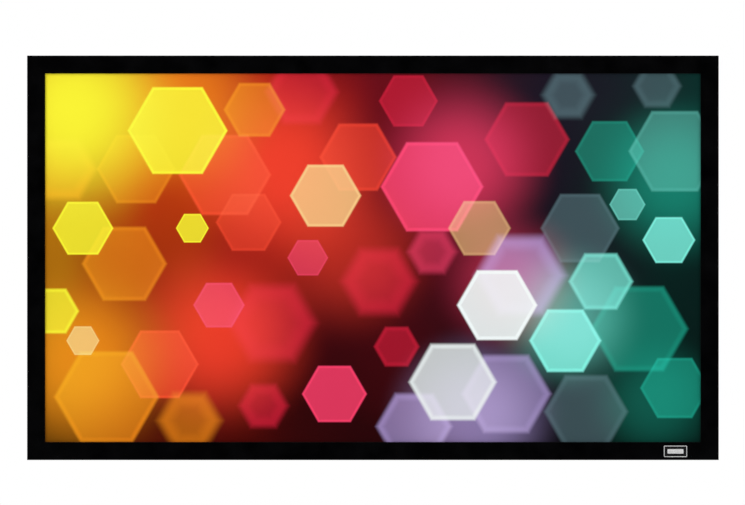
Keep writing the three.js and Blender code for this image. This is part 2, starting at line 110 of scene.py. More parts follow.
def only(piece):
    clean_start()
    piece.select_set(True)
    bpy.context.view_layer.objects.active = piece


def apply_modifier(piece, kind, **settings):
    only(piece)
    modifier = piece.modifiers.new(kind.title(), kind)
    for key, value in settings.items():
        setattr(modifier, key, value)
    bpy.ops.object.modifier_apply(modifier=modifier.name)


print("selected on arrival:", len(bpy.context.selected_objects), "objects")

# %% [markdown]
# No edge of a real thing is perfectly sharp. Metal has a small radius and cloth a larger one, and
# that is where they catch the light, so a bevel goes round the sharp edges of nearly every piece.
# Smooth shading could run over all edges, but then flat faces look like pillows. So it runs over
# shallow angles only, and weighted normals keep the large faces flat. Last, a finished piece is
# attached to the body that carries it, and the plain solids that it stands for are hidden.

# %% Soften, smooth and finish a piece
def soften(piece, radius, angle=40, segments=2):
    apply_modifier(
        piece, "BEVEL", width=radius, segments=segments, limit_method="ANGLE",
        angle_limit=math.radians(angle), miter_outer="MITER_ARC",
    )


def smooth(piece, angle=35, flat_faces=True):
    only(piece)
    bpy.ops.object.shade_smooth_by_angle(angle=math.radians(angle), keep_sharp_edges=False)
    if flat_faces:
        apply_modifier(piece, "WEIGHTED_NORMAL", keep_sharp=True)


def finished(piece, slot, *nodes):
    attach(piece, "root")
    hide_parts(*nodes)
    size = piece.dimensions / MM
    faces = len(piece.data.polygons)
    print(f"{piece.name}: {size.x:.1f} x {size.y:.1f} x {size.z:.1f} mm, {faces} faces")


# %% [markdown]
# ## Building materials
# A finish could be one flat colour, but no real surface is. Each finish here is a small network of
# nodes: coordinates go into a pattern, and the pattern drives colour, gloss and bump. The helpers
# add a node and wire what is given to it: a socket is linked, and a plain value is set. What is
# the same all over, such as sheen, is set on the shader itself.

# %% Add and wire nodes
def new_material(name):
    material = bpy.data.materials.new(name)
    material.use_nodes = True
    material.node_tree.nodes.clear()
    return material


def feed(tree, target, value):
    if isinstance(value, bpy.types.NodeSocket):
        tree.links.new(value, target)
    else:
        target.default_value = value


def add(tree, kind, inputs=None, **settings):
    node = tree.nodes.new("ShaderNode" + kind)
    for key, value in settings.items():
        setattr(node, key, value)
    for key, value in (inputs or {}).items():
        feed(tree, node.inputs[key], value)
    return node


def shade(material, inputs):
    tree = material.node_tree
    shader = add(tree, "BsdfPrincipled", inputs)
    add(tree, "OutputMaterial", {"Surface": shader.outputs["BSDF"]})
    print(f"{material.name}: {len(tree.nodes)} nodes")
    return material


# %% [markdown]
# Patterns are laid on the object's own coordinates, in metres from the middle of the screen, so a
# noise of scale 1000 has features about a millimetre across. They could hang on a generated box
# or a UV map, but then the same grain would come out larger on a larger piece. Most of a noise's
# values lie between 0.3 and 0.7, and stretch spreads those over the range that is wanted.

# %% Patterns from coordinates
NOISE_LOW, NOISE_HIGH = 0.3, 0.7


def object_coordinates(tree, scale=(1, 1, 1)):
    coordinates = add(tree, "TexCoord").outputs["Object"]
    return add(tree, "Mapping", {"Vector": coordinates, "Scale": scale}).outputs["Vector"]


def noise(tree, vector, scale, detail=2.0):
    values = {"Vector": vector, "Scale": scale, "Detail": detail, "Roughness": 0.5}
    return add(tree, "TexNoise", values).outputs["Fac"]


def maths(tree, operation, first, second=0.0):
    return add(tree, "Math", {0: first, 1: second}, operation=operation).outputs[0]


def vector_maths(tree, operation, first, second=(0, 0, 0)):
    return add(tree, "VectorMath", {0: first, 1: second}, operation=operation).outputs


def stretch(tree, value, low, high, start=NOISE_LOW, end=NOISE_HIGH, curve="LINEAR"):
    values = {"Value": value, "From Min": start, "From Max": end, "To Min": low, "To Max": high}
    return add(tree, "MapRange", values, interpolation_type=curve).outputs["Result"]


def blend(tree, amount, first, second, mode="MIX"):
    node = add(tree, "Mix", data_type="RGBA", blend_type=mode)
    colour_a, colour_b = 6, 7  # the colour sockets come after those for numbers and vectors
    feed(tree, node.inputs["Factor"], amount)
    feed(tree, node.inputs[colour_a], first)
    feed(tree, node.inputs[colour_b], second)
    return node.outputs[2]


def bump(tree, height, distance, strength):
    values = {"Height": height, "Distance": distance, "Strength": strength}
    return add(tree, "Bump", values).outputs["Normal"]


print("noise is spread from", NOISE_LOW, "to", NOISE_HIGH)

# %% [markdown]
# ## Black velvet
# Flock velvet is there to swallow stray light from the projector. It is nearly black, its short
# pile catches a faint sheen at a grazing angle only, and the nap lies a little differently from
# place to place. It could be hair, which is far too heavy for so long a border. So a fine noise
# gives the pile and a large one the nap, and the shader's own sheen does the rest.

# %% Velvet material
def velvet_material():
    material = new_material("black_velvet")
    tree = material.node_tree
    place = object_coordinates(tree)
    pile = noise(tree, place, scale=4200)
    nap = noise(tree, place, scale=14, detail=3)
    lay = stretch(tree, maths(tree, "MULTIPLY", pile, nap), 0, 1, start=0.12, end=0.45)
    return shade(material, {
        "Base Color": blend(tree, lay, (0.0004, 0.0004, 0.0005, 1), (0.0030, 0.0030, 0.0034, 1)),
        "Roughness": 0.95,
        "Specular IOR Level": 0.0,
        "Sheen Weight": 0.05,
        "Sheen Roughness": 0.35,
        "Normal": bump(tree, pile, distance=0.15 * MM, strength=0.7),
    })


velvet = velvet_material()

# %% [markdown]
# ## Rounded outlines
# A sheet metal bend, the nose of an extrusion and the corner of a badge are all the same thing on
# paper: a line of corners, some of them rounded. The arcs could be worked out one by one, but one
# helper does for all. It takes corners as (across, up, radius) and puts an arc of the stated
# radius in each.

# %% Round the corners of a path
def rounded(corners, steps, closed=False):
    points = []
    count = len(corners)
    for i, (x, y, radius) in enumerate(corners):
        corner = Vector((x, y))
        if radius == 0 or (not closed and i in (0, count - 1)):
            points.append(corner)
            continue
        arrive = (Vector(corners[i - 1][:2]) - corner).normalized()
        leave = (Vector(corners[(i + 1) % count][:2]) - corner).normalized()
        half = arrive.angle(leave) / 2
        centre = corner + (arrive + leave).normalized() * radius / math.sin(half)
        start = corner + arrive * radius / math.tan(half) - centre
        end = corner + leave * radius / math.tan(half) - centre
        turn = math.atan2(start.x * end.y - start.y * end.x, start.dot(end))
        for step in range(steps + 1):
            points.append(centre + Matrix.Rotation(turn * step / steps, 2) @ start)
    return points


bend = rounded([(0, 0, 0), (2, 0, 1), (2, 2, 0)], steps=2)
print("a right angle, rounded:", [(round(point.x, 2), round(point.y, 2)) for point in bend])

# %% [markdown]
# ## The velvet's path across the border
# A strip of velvet is glued round each length before the frame is put together: from the foot of
# the inner lip, over the front, and round to the back edge. The front isn't flat. It slopes back
# at both sides, a little more steeply inside than outside, and the velvet lies a skin's thickness
# proud of those slopes. Its path could be offset point by point. It is simpler to move each slope
# out by that thickness and to let the corners fall where the lines meet.

# %% Where the velvet runs
VELVET = 0.7 * MM
SKIN = 1.0 * MM  # the velvet and its glue
LIP_DEPTH = 11 * MM
LIP_FOOT = 3.6 * MM
INNER_BEVEL = (10.3 * MM, 4.6 * MM)  # across, and back
OUTER_BEVEL = (8.3 * MM, 3.3 * MM)
TURN_BACK = 6.5 * MM
NOSE, EDGE, FACE = 1.6 * MM, 3 * MM, 5 * MM  # the radii of the path's corners
PATH_STEPS = 7


def velvet_corners():
    slope_in = INNER_BEVEL[1] / INNER_BEVEL[0]
    slope_out = OUTER_BEVEL[1] / OUTER_BEVEL[0]
    grow_in = SKIN * (math.hypot(1, slope_in) - 1) / slope_in
    grow_out = SKIN * (math.hypot(1, slope_out) - 1) / slope_out
    bevel_in = SKIN + INNER_BEVEL[0] - grow_in
    bevel_out = BORDER - SKIN - OUTER_BEVEL[0] + grow_out
    return [
        (SKIN + LIP_FOOT, LIP_DEPTH + SKIN, 0),
        (0, LIP_DEPTH + SKIN, NOSE),
        (0, bevel_in * slope_in, EDGE),
        (bevel_in, 0, FACE),
        (bevel_out, 0, FACE),
        (BORDER, (BORDER - bevel_out) * slope_out, EDGE),
        (BORDER, DEPTH, NOSE),
        (BORDER - TURN_BACK, DEPTH, 0),
    ]


def path_length(path):
    return sum(math.dist(a, b) for a, b in zip(path, path[1:]))


VELVET_PATH = rounded(velvet_corners(), PATH_STEPS)
print("a strip of velvet is", round(path_length(VELVET_PATH) / MM, 1), "mm wide")

# %% [markdown]
# ## Wrap each length
# The six lengths are mitred in the corners and butted in the middle of the top and the bottom.
# Cloth starts flat, so each strip starts as a flat grid whose rows of points are laid on the path.
# The mitres could be cut with a boolean, but then the ends would have new points. Here every point
# slides along its side until it is on the plane of the cut, so two strips meet exactly and the
# pile hides the joint, as it does on the real frame.

# %% The lengths and their ends
LENGTHS = [  # name, side, and how each end is cut
    ("top_rail_left", "top", "mitre", "butt"),
    ("top_rail_right", "top", "butt", "mitre"),
    ("bottom_rail_right", "bottom", "mitre", "butt"),
    ("bottom_rail_left", "bottom", "butt", "mitre"),
    ("left_stile", "left", "mitre", "mitre"),
    ("right_stile", "right", "mitre", "mitre"),
]


def trim_ends(piece, half, start_cut, end_cut):
    """Slides every point along its side on to the plane of its cut."""
    along = [vertex.co.x for vertex in piece.data.vertices]
    middle = (min(along) + max(along)) / 2
    for vertex in piece.data.vertices:
        cut, sign = (start_cut, -1) if vertex.co.x < middle else (end_cut, 1)
        vertex.co.x = sign * (half + vertex.co.z) if cut == "mitre" else 0.0


print("lengths:", len(LENGTHS), "mitred ends:", sum(length.count("mitre") for length in LENGTHS))

# %% [markdown]
# The grid has two rows of points, one for each end of the strip, and as many columns as the path
# has points. Then it is worked like cloth on a bench: trimmed, turned right side out, thickened by
# Solidify to its pile and backing, and trimmed again, because a thickness that grows at a slant
# leaves the plane of the cut.

# %% Lay the velvet on its path
def lay_grid(name):
    """A grid of two rows of points on the velvet's path, one unit to each side."""
    clean_start()
    columns = len(VELVET_PATH)
    bpy.ops.mesh.primitive_grid_add(x_subdivisions=columns - 1, y_subdivisions=1, size=1)
    piece = bpy.context.object
    piece.name = piece.data.name = name
    for i, vertex in enumerate(piece.data.vertices):
        out, back = VELVET_PATH[i % columns]
        vertex.co = (-1 if i < columns else 1, back, out)
    return piece


def face_forwards(piece):
    """Turns the strip's faces round if the one in the middle of the border looks at the wall."""
    if piece.data.polygons[len(VELVET_PATH) // 2].normal.y > 0:
        only(piece)
        bpy.ops.object.mode_set(mode="EDIT")
        bpy.ops.mesh.select_all(action="SELECT")
        bpy.ops.mesh.flip_normals()
        bpy.ops.object.mode_set(mode="OBJECT")


def make_velvet(name, side, start_cut, end_cut):
    half = SIDE_HALF[side]
    piece = lay_grid(name + "_velvet_wrap")
    trim_ends(piece, half, start_cut, end_cut)
    face_forwards(piece)
    apply_modifier(piece, "SOLIDIFY", thickness=VELVET, offset=-1, use_even_offset=True)
    trim_ends(piece, half, start_cut, end_cut)
    soften(piece, radius=0.15 * MM, angle=50)
    piece.data.transform(side_matrix(side))
    piece.data.materials.append(velvet)
    smooth(piece)
    finished(piece, "frame_velvet", name + "_velvet")


for length in LENGTHS:
    make_velvet(*length)

# %% [markdown]
# ## Extruded aluminium
# Aluminium that comes through a die carries fine lines along its length, and its gloss changes
# from line to line. Anisotropic gloss could stand for them from afar, but close up it shows no
# lines. So one noise, squeezed across the length and stretched along it, drives both the roughness
# and a very small bump. Upright lengths need it turned.

# %% Aluminium material
LINES, ALONG = 900, 2  # the noise's scale across the length, and along it


def aluminium_material(name, scale):
    material = new_material(name)
    tree = material.node_tree
    lines = noise(tree, object_coordinates(tree, scale), scale=1, detail=3)
    cloud = noise(tree, object_coordinates(tree), scale=9, detail=3)
    mostly_lines = maths(tree, "MULTIPLY", lines, 0.7)
    tone = maths(tree, "ADD", mostly_lines, maths(tree, "MULTIPLY", cloud, 0.3))
    dark, light = (0.34, 0.345, 0.355, 1), (0.50, 0.505, 0.515, 1)
    return shade(material, {
        "Base Color": blend(tree, stretch(tree, tone, 0, 1), dark, light),
        "Metallic": 0.9,
        "Roughness": stretch(tree, lines, 0.32, 0.50),
        "Normal": bump(tree, lines, distance=0.04 * MM, strength=0.35),
    })


aluminium_level = aluminium_material("aluminium_lengthways", (ALONG, LINES, LINES))
aluminium_upright = aluminium_material("aluminium_upright", (LINES, LINES, ALONG))

# %% [markdown]
# ## The aluminium lengths
# An extrusion has the same section all along: lip, closed box, channel and gutter. It could be
# drawn again from its outline, but the frame already holds that section, so each length is a copy
# of its solid. The copy's loose triangles are merged and its flat ones dissolved, and then every
# edge gets the quarter millimetre radius that a die leaves. The support bar is made the same way.

# %% Copy a solid and soften its edges
MERGE = 0.002 * MM  # points nearer than this are one


def copy_of_node(name, new_name):
    clean_start()
    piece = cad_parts[name].copy()
    piece.data = piece.data.copy()
    piece.parent = None
    piece.name = piece.data.name = new_name
    piece.data.materials.clear()
    bpy.context.scene.collection.objects.link(piece)
    piece.hide_render = piece.hide_viewport = False
    only(piece)
    bpy.ops.object.mode_set(mode="EDIT")
    bpy.ops.mesh.select_all(action="SELECT")
    bpy.ops.mesh.remove_doubles(threshold=MERGE)
    bpy.ops.mesh.dissolve_limited(angle_limit=math.radians(0.5))
    bpy.ops.object.mode_set(mode="OBJECT")
    return piece


def make_extrusion(name, material, radius):
    piece = copy_of_node(name, name + "_extrusion")
    soften(piece, radius, angle=45)
    piece.data.materials.append(material)
    smooth(piece)
    finished(piece, "frame_aluminium", name)


for name, side, _, _ in LENGTHS:
    grain = aluminium_upright if side in ("left", "right") else aluminium_level
    make_extrusion(name, grain, radius=0.25 * MM)
make_extrusion("support_bar", aluminium_upright, radius=0.35 * MM)

# %% [markdown]
# ## Springs
# An extension spring is one piece of nickel plated wire: a hook round the rod, a close-wound coil,
# and a hook over the gutter's edge. The rods are plain drawn steel with the same plating. Plating
# is nearly a mirror, so a slow noise that moves its gloss a little is all the finish it needs.

# %% Spring steel material
def spring_material():
    material = new_material("spring_steel")
    tree = material.node_tree
    drawn = noise(tree, object_coordinates(tree), scale=260, detail=3)
    return shade(material, {
        "Base Color": blend(tree, drawn, (0.50, 0.51, 0.52, 1), (0.70, 0.70, 0.69, 1)),
        "Metallic": 1.0,
        "Roughness": stretch(tree, drawn, 0.16, 0.32),
    })


spring_steel = spring_material()

# %% [markdown]
# The wire starts round the rod and ends in the gutter, and the line between them slants. It could
# be drawn level and turned afterwards. It is easier to follow in its own directions: along the
# pull, from the rod to the gutter's edge, square to that, and sideways along the frame. Every
# point of the loop and the coil is then three plain distances.

# %% The line of pull
ROD_OUT = 9.5 * MM
ROD_BACK = 15.6 * MM
ROD_RADIUS = 2.5 * MM
GUTTER_IN = 29.5 * MM  # the near side of the gutter's edge, and the far side
GUTTER_OUT = 31 * MM
GUTTER_TOP = 17.7 * MM
WIRE_RADIUS = 0.6 * MM
WIRE_GAP = CLEARANCE + WIRE_RADIUS  # from a surface to the middle of the wire that rests on it

ROD_MIDDLE = Vector((0, ROD_BACK, ROD_OUT))
GUTTER_EDGE = Vector((0, GUTTER_TOP + WIRE_GAP, GUTTER_IN - WIRE_GAP))
SPAN = (GUTTER_EDGE - ROD_MIDDLE).length
PULL = (GUTTER_EDGE - ROD_MIDDLE).normalized()
SQUARE = Vector((0, -PULL.z, PULL.y))
SIDEWAYS = Vector((1, 0, 0))


def spring_point(along, square, sideways=0.0):
    return ROD_MIDDLE + PULL * along + SQUARE * square + SIDEWAYS * sideways


print("from the rod to the gutter's edge:", round(SPAN / MM, 2), "mm")

# %% [markdown]
# The coil could be a Screw modifier, but the hooks would have to be joined to it. As one path, the
# wire has no joints at all: a loop of nearly three quarters of a turn, a short lead in, the coil,
# a lead out, and the hook, whose bend is rounded like any other corner.

# %% The path of the wire
COIL_TURNS = 8
COIL_STEPS = 14
COIL_RADIUS = 3 * MM - WIRE_RADIUS  # to the middle of the wire
LOOP_STEPS = 16
LOOP_START, LOOP_TURN = 40, 265  # degrees round the rod, from the line of pull
HOOK_AT_ROD = 5.4 * MM  # from the rod's middle to the coil
HOOK_AT_GUTTER = 3.5 * MM  # from the coil to the gutter's edge
LEAD = 0.9 * MM
HOOK_RUN, HOOK_SLOPE = 1.6 * MM, 0.2 * MM  # the hook starts this far inside the edge, and forward
HOOK_BEND, HOOK_DROP = 0.8 * MM, 3 * MM


def loop_round_rod():
    loop = ROD_RADIUS + WIRE_GAP
    for step in range(LOOP_STEPS):
        angle = math.radians(LOOP_START + LOOP_TURN * step / (LOOP_STEPS - 1))
        yield spring_point(loop * math.cos(angle), loop * math.sin(angle))


def coil():
    start = HOOK_AT_ROD + WIRE_RADIUS
    length = SPAN - HOOK_AT_ROD - HOOK_AT_GUTTER - 2 * WIRE_RADIUS
    steps = COIL_TURNS * COIL_STEPS
    for step in range(steps + 1):
        angle = 2 * math.pi * step / COIL_STEPS - math.pi / 2
        square, sideways = COIL_RADIUS * math.sin(angle), COIL_RADIUS * math.cos(angle)
        yield spring_point(start + length * step / steps, square, sideways)


def hook_over_gutter():
    start, far, top = GUTTER_EDGE.z - HOOK_RUN, GUTTER_OUT + WIRE_GAP, GUTTER_EDGE.y
    corners = [(start, top - HOOK_SLOPE, 0), (far, top, HOOK_BEND), (far, top - HOOK_DROP, 0)]
    for out, back in rounded(corners, steps=4):
        yield Vector((0, back, out))


def spring_path():
    lead_in = spring_point(HOOK_AT_ROD - LEAD, square=-0.8 * MM)
    lead_out = spring_point(SPAN - HOOK_AT_GUTTER + LEAD, square=-0.5 * MM)
    return [*loop_round_rod(), lead_in, *coil(), lead_out, *hook_over_gutter()]


print("the wire's path has", len(spring_path()), "points")

# %% [markdown]
# The path becomes a curve with a round section, and the curve a mesh. Eight sides are enough for a
# wire of 1.2 mm that is repeated 44 times. The ends of such a mesh are caps whose points double
# those of the tube, so they are merged before the faces are turned outwards.

# %% Bend the wire
def outward(piece):
    only(piece)
    bpy.ops.object.mode_set(mode="EDIT")
    bpy.ops.mesh.select_all(action="SELECT")
    bpy.ops.mesh.remove_doubles(threshold=MERGE)
    bpy.ops.mesh.normals_make_consistent(inside=False)
    bpy.ops.object.mode_set(mode="OBJECT")


def make_spring():
    clean_start()
    curve = bpy.data.curves.new("spring_wire", "CURVE")
    curve.dimensions = "3D"
    curve.bevel_depth = WIRE_RADIUS
    curve.bevel_resolution = 2
    curve.use_fill_caps = True
    points = spring_path()
    spline = curve.splines.new("POLY")
    spline.points.add(len(points) - 1)
    for target, point in zip(spline.points, points):
        target.co = (*point, 1)
    wire = bpy.data.objects.new("spring_wire", curve)
    bpy.context.scene.collection.objects.link(wire)
    only(wire)
    bpy.ops.object.convert(target="MESH")
    outward(bpy.context.object)
    return bpy.context.object


spring = make_spring()
print("one spring:", len(spring.data.polygons), "faces")

# %% [markdown]
# ## Rods with their springs
# A rod lies in each hem, two on a long side, with its ends rounded so that it slides in. The
# springs sit about 150 mm apart along it. A modifier could repeat them, but each rod's length
# gives its own pitch, so the one spring is copied to places that are worked out.

# %% Where the rods and springs are
ROD_END = 50 * MM  # from the picture's corner
ROD_MEETING = 8 * MM
SPRING_PITCH = 150 * MM
LONG_END, SHORT_END = ACROSS - ROD_END, UPRIGHT - ROD_END
RODS = [  # name, side, start and end along the side
    ("top_left", "top", -LONG_END, -ROD_MEETING / 2),
    ("top_right", "top", ROD_MEETING / 2, LONG_END),
    ("bottom_right", "bottom", -LONG_END, -ROD_MEETING / 2),
    ("bottom_left", "bottom", ROD_MEETING / 2, LONG_END),
    ("left", "left", -SHORT_END, SHORT_END),
    ("right", "right", -SHORT_END, SHORT_END),
]


def spring_places(start, end):
    count = max(1, round((end - start) / SPRING_PITCH))
    return [start + (i + 0.5) * (end - start) / count for i in range(count)]


print("springs in all:", sum(len(spring_places(start, end)) for _, _, start, end in RODS))

# %% [markdown]
# A rod is drawn bar, cut off and rounded at both ends, so a cylinder with a bevel on its rims will
# do. The springs could stay pieces of their own, as they are on the real frame. The plain solids
# count a rod and its springs as one piece, so they are joined here as well.

# %% Make the rods
def add_cylinder(sides, radius, length, place, axis="Y"):
    """A cylinder along X or Y, its place and turn in its mesh."""
    clean_start()
    turn = (math.pi / 2, 0, 0) if axis == "Y" else (0, math.pi / 2, 0)
    bpy.ops.mesh.primitive_cylinder_add(
        vertices=sides, radius=radius, depth=length, location=place, rotation=turn
    )
    bpy.ops.object.transform_apply(location=True, rotation=True, scale=True)
    return bpy.context.object


def join(name, pieces):
    only(pieces[0])
    for piece in pieces[1:]:
        piece.select_set(True)
    bpy.ops.object.join()
    pieces[0].name = pieces[0].data.name = name
    return pieces[0]


def make_rod(name, side, start, end):
    middle = ((start + end) / 2, ROD_BACK, ROD_OUT)
    rod = add_cylinder(sides=20, radius=ROD_RADIUS, length=end - start, place=middle, axis="X")
    soften(rod, radius=0.9 * MM, angle=60, segments=3)
    pieces = [rod]
    for place in spring_places(start, end):
        copy = spring.copy()
        copy.data = spring.data.copy()
        copy.data.transform(Matrix.Translation((place, 0, 0)))
        bpy.context.scene.collection.objects.link(copy)
        pieces.append(copy)
    piece = join(name + "_rod_with_springs", pieces)
    piece.data.transform(side_matrix(side))
    piece.data.materials.clear()
    piece.data.materials.append(spring_steel)
    smooth(piece, angle=60, flat_faces=False)
    finished(piece, "spring_steel", name + "_rod_and_springs")


for rod_entry in RODS:
    make_rod(*rod_entry)
bpy.data.objects.remove(spring)

# %% [markdown]
# ## The picture
# A screen is shown with a picture on it. It could be an image file. Made of nodes it stays sharp at
# any distance, and it can be a plain study in colour: a field that runs from yellow through red to
# green, some soft lights in it, and drifting six-sided lights of many sizes, as a lens with six
# blades would draw them. Every light is the same small network with other numbers, so it is a node
# group that is used again and again.

# %% A node group for a light
SOCKET_KINDS = {
    "Under": "Color", "Place": "Vector", "Centre": "Vector", "Radius": "Float",
    "Softness": "Float", "Light": "Color", "Strength": "Float",
}
GLOW_VALUES = ("Radius", "Light", "Strength")
HEXAGON_VALUES = ("Radius", "Softness", "Light", "Strength")


def light_group(name, values):
    group = bpy.data.node_groups.new(name, "ShaderNodeTree")
    for label in ("Under", "Place", "Centre", *values):
        kind = "NodeSocket" + SOCKET_KINDS[label]
        group.interface.new_socket(name=label, in_out="INPUT", socket_type=kind)
    group.interface.new_socket(name="Colour", in_out="OUTPUT", socket_type="NodeSocketColor")
    given = group.nodes.new("NodeGroupInput").outputs
    result = group.nodes.new("NodeGroupOutput").inputs
    return group, given, result


def add_light(group, given, result, amount):
    """Screen mode brightens what lies under the light, and never past white."""
    feed(group, result["Colour"], blend(group, amount, given["Under"], given["Light"], "SCREEN"))


print("a six-sided light takes:", ", ".join(HEXAGON_VALUES))

# %% [markdown]
# A soft glow is strongest in its middle and fades along a smooth curve to nothing at its radius.
#
# A point is inside a six-sided light if it is nearer to the centre than the radius, measured
# square to the sides. The shape is the same in all four quarters, so one upright and one slanting
# distance do for its six sides, and the larger of the two counts. The body fades out over the
# softness, and a thin, brighter rim runs just inside that, as it does in a lens.

# %% A soft glow and a six-sided light
SLANT = (math.cos(math.pi / 6), 0, math.sin(math.pi / 6))
BODY, RIM = 0.84, 1.15


def glow_group():
    group, given, result = light_group("soft_glow", GLOW_VALUES)
    away = vector_maths(group, "DISTANCE", given["Place"], given["Centre"])["Value"]
    near = stretch(
        group, away, 0.0, given["Strength"], start=given["Radius"], end=0.0, curve="SMOOTHERSTEP"
    )
    add_light(group, given, result, near)
    return group


def hexagon_group():
    group, given, result = light_group("hexagon_light", HEXAGON_VALUES)
    offset = vector_maths(group, "SUBTRACT", given["Place"], given["Centre"])["Vector"]
    size = vector_maths(group, "ABSOLUTE", offset)["Vector"]
    upright = add(group, "SeparateXYZ", {"Vector": size}).outputs["Z"]
    slanting = vector_maths(group, "DOT_PRODUCT", size, SLANT)["Value"]
    reach = maths(group, "MAXIMUM", upright, slanting)
    inner = maths(group, "SUBTRACT", given["Radius"], given["Softness"])
    rim_start = maths(group, "SUBTRACT", inner, given["Softness"])
    body = stretch(group, reach, 0.0, 1.0, start=given["Radius"], end=inner, curve="SMOOTHSTEP")
    rim = stretch(group, reach, BODY, RIM, start=rim_start, end=inner, curve="SMOOTHSTEP")
    cover = maths(group, "MULTIPLY", maths(group, "MULTIPLY", body, rim), given["Strength"])
    add_light(group, given, result, cover)
    return group


glow, hexagon = glow_group(), hexagon_group()
print("nodes in a glow:", len(glow.nodes), "and in a hexagon:", len(hexagon.nodes))

# %% [markdown]
# The field comes first: one ramp of colour from left to right that gets darker towards the foot.
# The lights are laid over it one after another, each in one of a few named colours. A shader
# needs its colours as linear light, and those numbers are hard to read, so tint takes a colour as
# a screen shows it and works them out.

# %% The picture's colours
def tint(red, green, blue):
    """Turns a colour as a screen shows it, 0 to 255, into linear light."""
    shown = [value / 255 for value in (red, green, blue)]
    return (*[c / 12.92 if c <= 0.04045 else ((c + 0.055) / 1.055) ** 2.4 for c in shown], 1.0)


LEMON = tint(254, 248, 50)
AMBER = tint(250, 140, 24)
PEACH = tint(255, 206, 136)
CORAL = tint(252, 64, 42)
ROSE = tint(252, 64, 106)
WINE = tint(176, 22, 46)
WHITE = tint(246, 255, 255)
LILAC = tint(192, 170, 236)
MINT = tint(128, 244, 226)
TEAL = tint(28, 168, 142)
SLATE = tint(96, 126, 134)

GOLD = tint(208, 132, 16)
RUST = tint(200, 62, 14)
SCARLET = tint(172, 26, 18)
GARNET = tint(104, 12, 24)
NIGHT = tint(26, 20, 34)
FOREST = tint(8, 46, 42)

FIELD = [(0.0, GOLD), (0.16, RUST), (0.32, SCARLET), (0.52, GARNET), (0.76, NIGHT), (1.0, FOREST)]
FOOT_SHADE, HEAD_SHADE = 0.16, 1.0
print("the field passes", len(FIELD), "colours from left to right")

# %% [markdown]
# The lights could be scattered by chance, but a picture wants balance: a warm crowd of them at the
# left, fewer and cooler ones at the right, and dark gaps in between. So each light has an entry of
# its own, the large soft glows first and the six-sided ones over them.

# %% The picture's lights
# Soft glows: (across, up, radius, colour, strength), in metres from the middle of the picture.
GLOWS = [
    (-1.02, 0.50, 0.46, LEMON, 0.95), (-0.64, 0.52, 0.38, AMBER, 0.62),
    (-0.30, 0.30, 0.42, CORAL, 0.84), (-0.98, -0.34, 0.40, AMBER, 0.82),
    (-0.52, -0.26, 0.40, CORAL, 0.86), (-0.08, 0.02, 0.36, CORAL, 0.40),
    (0.30, 0.32, 0.36, ROSE, 0.60), (0.46, -0.08, 0.30, ROSE, 0.36),
    (0.34, -0.54, 0.34, LILAC, 0.50), (0.66, -0.20, 0.30, MINT, 0.40),
    (1.02, 0.26, 0.34, TEAL, 0.50), (0.95, -0.48, 0.28, TEAL, 0.24),
]

# Six-sided lights: (across, up, radius, softness, colour, strength).
HEXAGONS = [
    (-1.05, 0.30, 0.115, 0.030, AMBER, 0.60), (-0.66, 0.43, 0.150, 0.008, LEMON, 0.94),
    (-0.80, 0.30, 0.120, 0.010, AMBER, 0.50), (-0.98, 0.10, 0.092, 0.006, LEMON, 0.90),
    (-0.84, -0.02, 0.130, 0.012, AMBER, 0.56), (-0.61, 0.10, 0.050, 0.004, LEMON, 0.90),
    (-1.08, -0.18, 0.080, 0.010, LEMON, 0.80), (-0.90, -0.47, 0.160, 0.014, AMBER, 0.68),
    (-0.72, -0.36, 0.118, 0.008, CORAL, 0.82), (-0.98, -0.28, 0.050, 0.004, PEACH, 0.80),
    (-0.62, -0.55, 0.110, 0.040, AMBER, 0.50), (-0.50, 0.28, 0.140, 0.010, CORAL, 0.74),
    (-0.42, 0.12, 0.100, 0.008, CORAL, 0.55), (-0.40, 0.50, 0.095, 0.010, AMBER, 0.58),
    (-0.24, 0.56, 0.120, 0.030, WINE, 0.80), (-0.52, -0.16, 0.078, 0.006, ROSE, 0.76),
    (-0.34, -0.22, 0.150, 0.050, WINE, 0.85), (-0.13, -0.46, 0.098, 0.007, ROSE, 0.92),
    (-0.37, -0.50, 0.085, 0.030, WINE, 0.90), (-0.16, 0.21, 0.108, 0.008, PEACH, 0.86),
    (-0.05, 0.34, 0.118, 0.010, CORAL, 0.62), (-0.22, 0.00, 0.062, 0.005, ROSE, 0.62),
    (0.02, -0.08, 0.130, 0.045, WINE, 0.85), (0.12, 0.53, 0.090, 0.008, WINE, 0.95),
    (0.20, 0.24, 0.155, 0.010, ROSE, 0.92), (0.20, 0.02, 0.085, 0.030, ROSE, 0.42),
    (0.36, 0.10, 0.095, 0.008, PEACH, 0.46), (0.08, -0.30, 0.072, 0.012, WINE, 0.90),
    (0.52, 0.40, 0.130, 0.012, WINE, 0.80), (0.66, 0.55, 0.090, 0.030, SLATE, 0.45),
    (0.42, -0.16, 0.122, 0.010, WHITE, 0.98), (0.50, -0.06, 0.150, 0.040, LILAC, 0.50),
    (0.27, -0.42, 0.135, 0.014, WHITE, 0.72), (0.14, -0.57, 0.120, 0.020, LILAC, 0.50),
    (0.45, -0.46, 0.140, 0.020, LILAC, 0.44), (0.65, -0.28, 0.110, 0.010, MINT, 0.94),
    (0.70, 0.10, 0.120, 0.010, SLATE, 0.45), (0.77, -0.08, 0.100, 0.012, MINT, 0.62),
    (0.72, -0.52, 0.130, 0.016, SLATE, 0.45), (0.90, -0.24, 0.150, 0.016, TEAL, 0.50),
    (0.80, 0.36, 0.105, 0.008, TEAL, 0.46), (1.02, 0.36, 0.140, 0.010, MINT, 0.26),
    (1.00, 0.06, 0.080, 0.006, MINT, 0.84), (1.02, -0.44, 0.105, 0.008, TEAL, 0.56),
    (0.96, 0.58, 0.080, 0.020, SLATE, 0.40), (0.86, 0.18, 0.055, 0.005, MINT, 0.50),
]
print("lights in the picture:", len(GLOWS) + len(HEXAGONS))

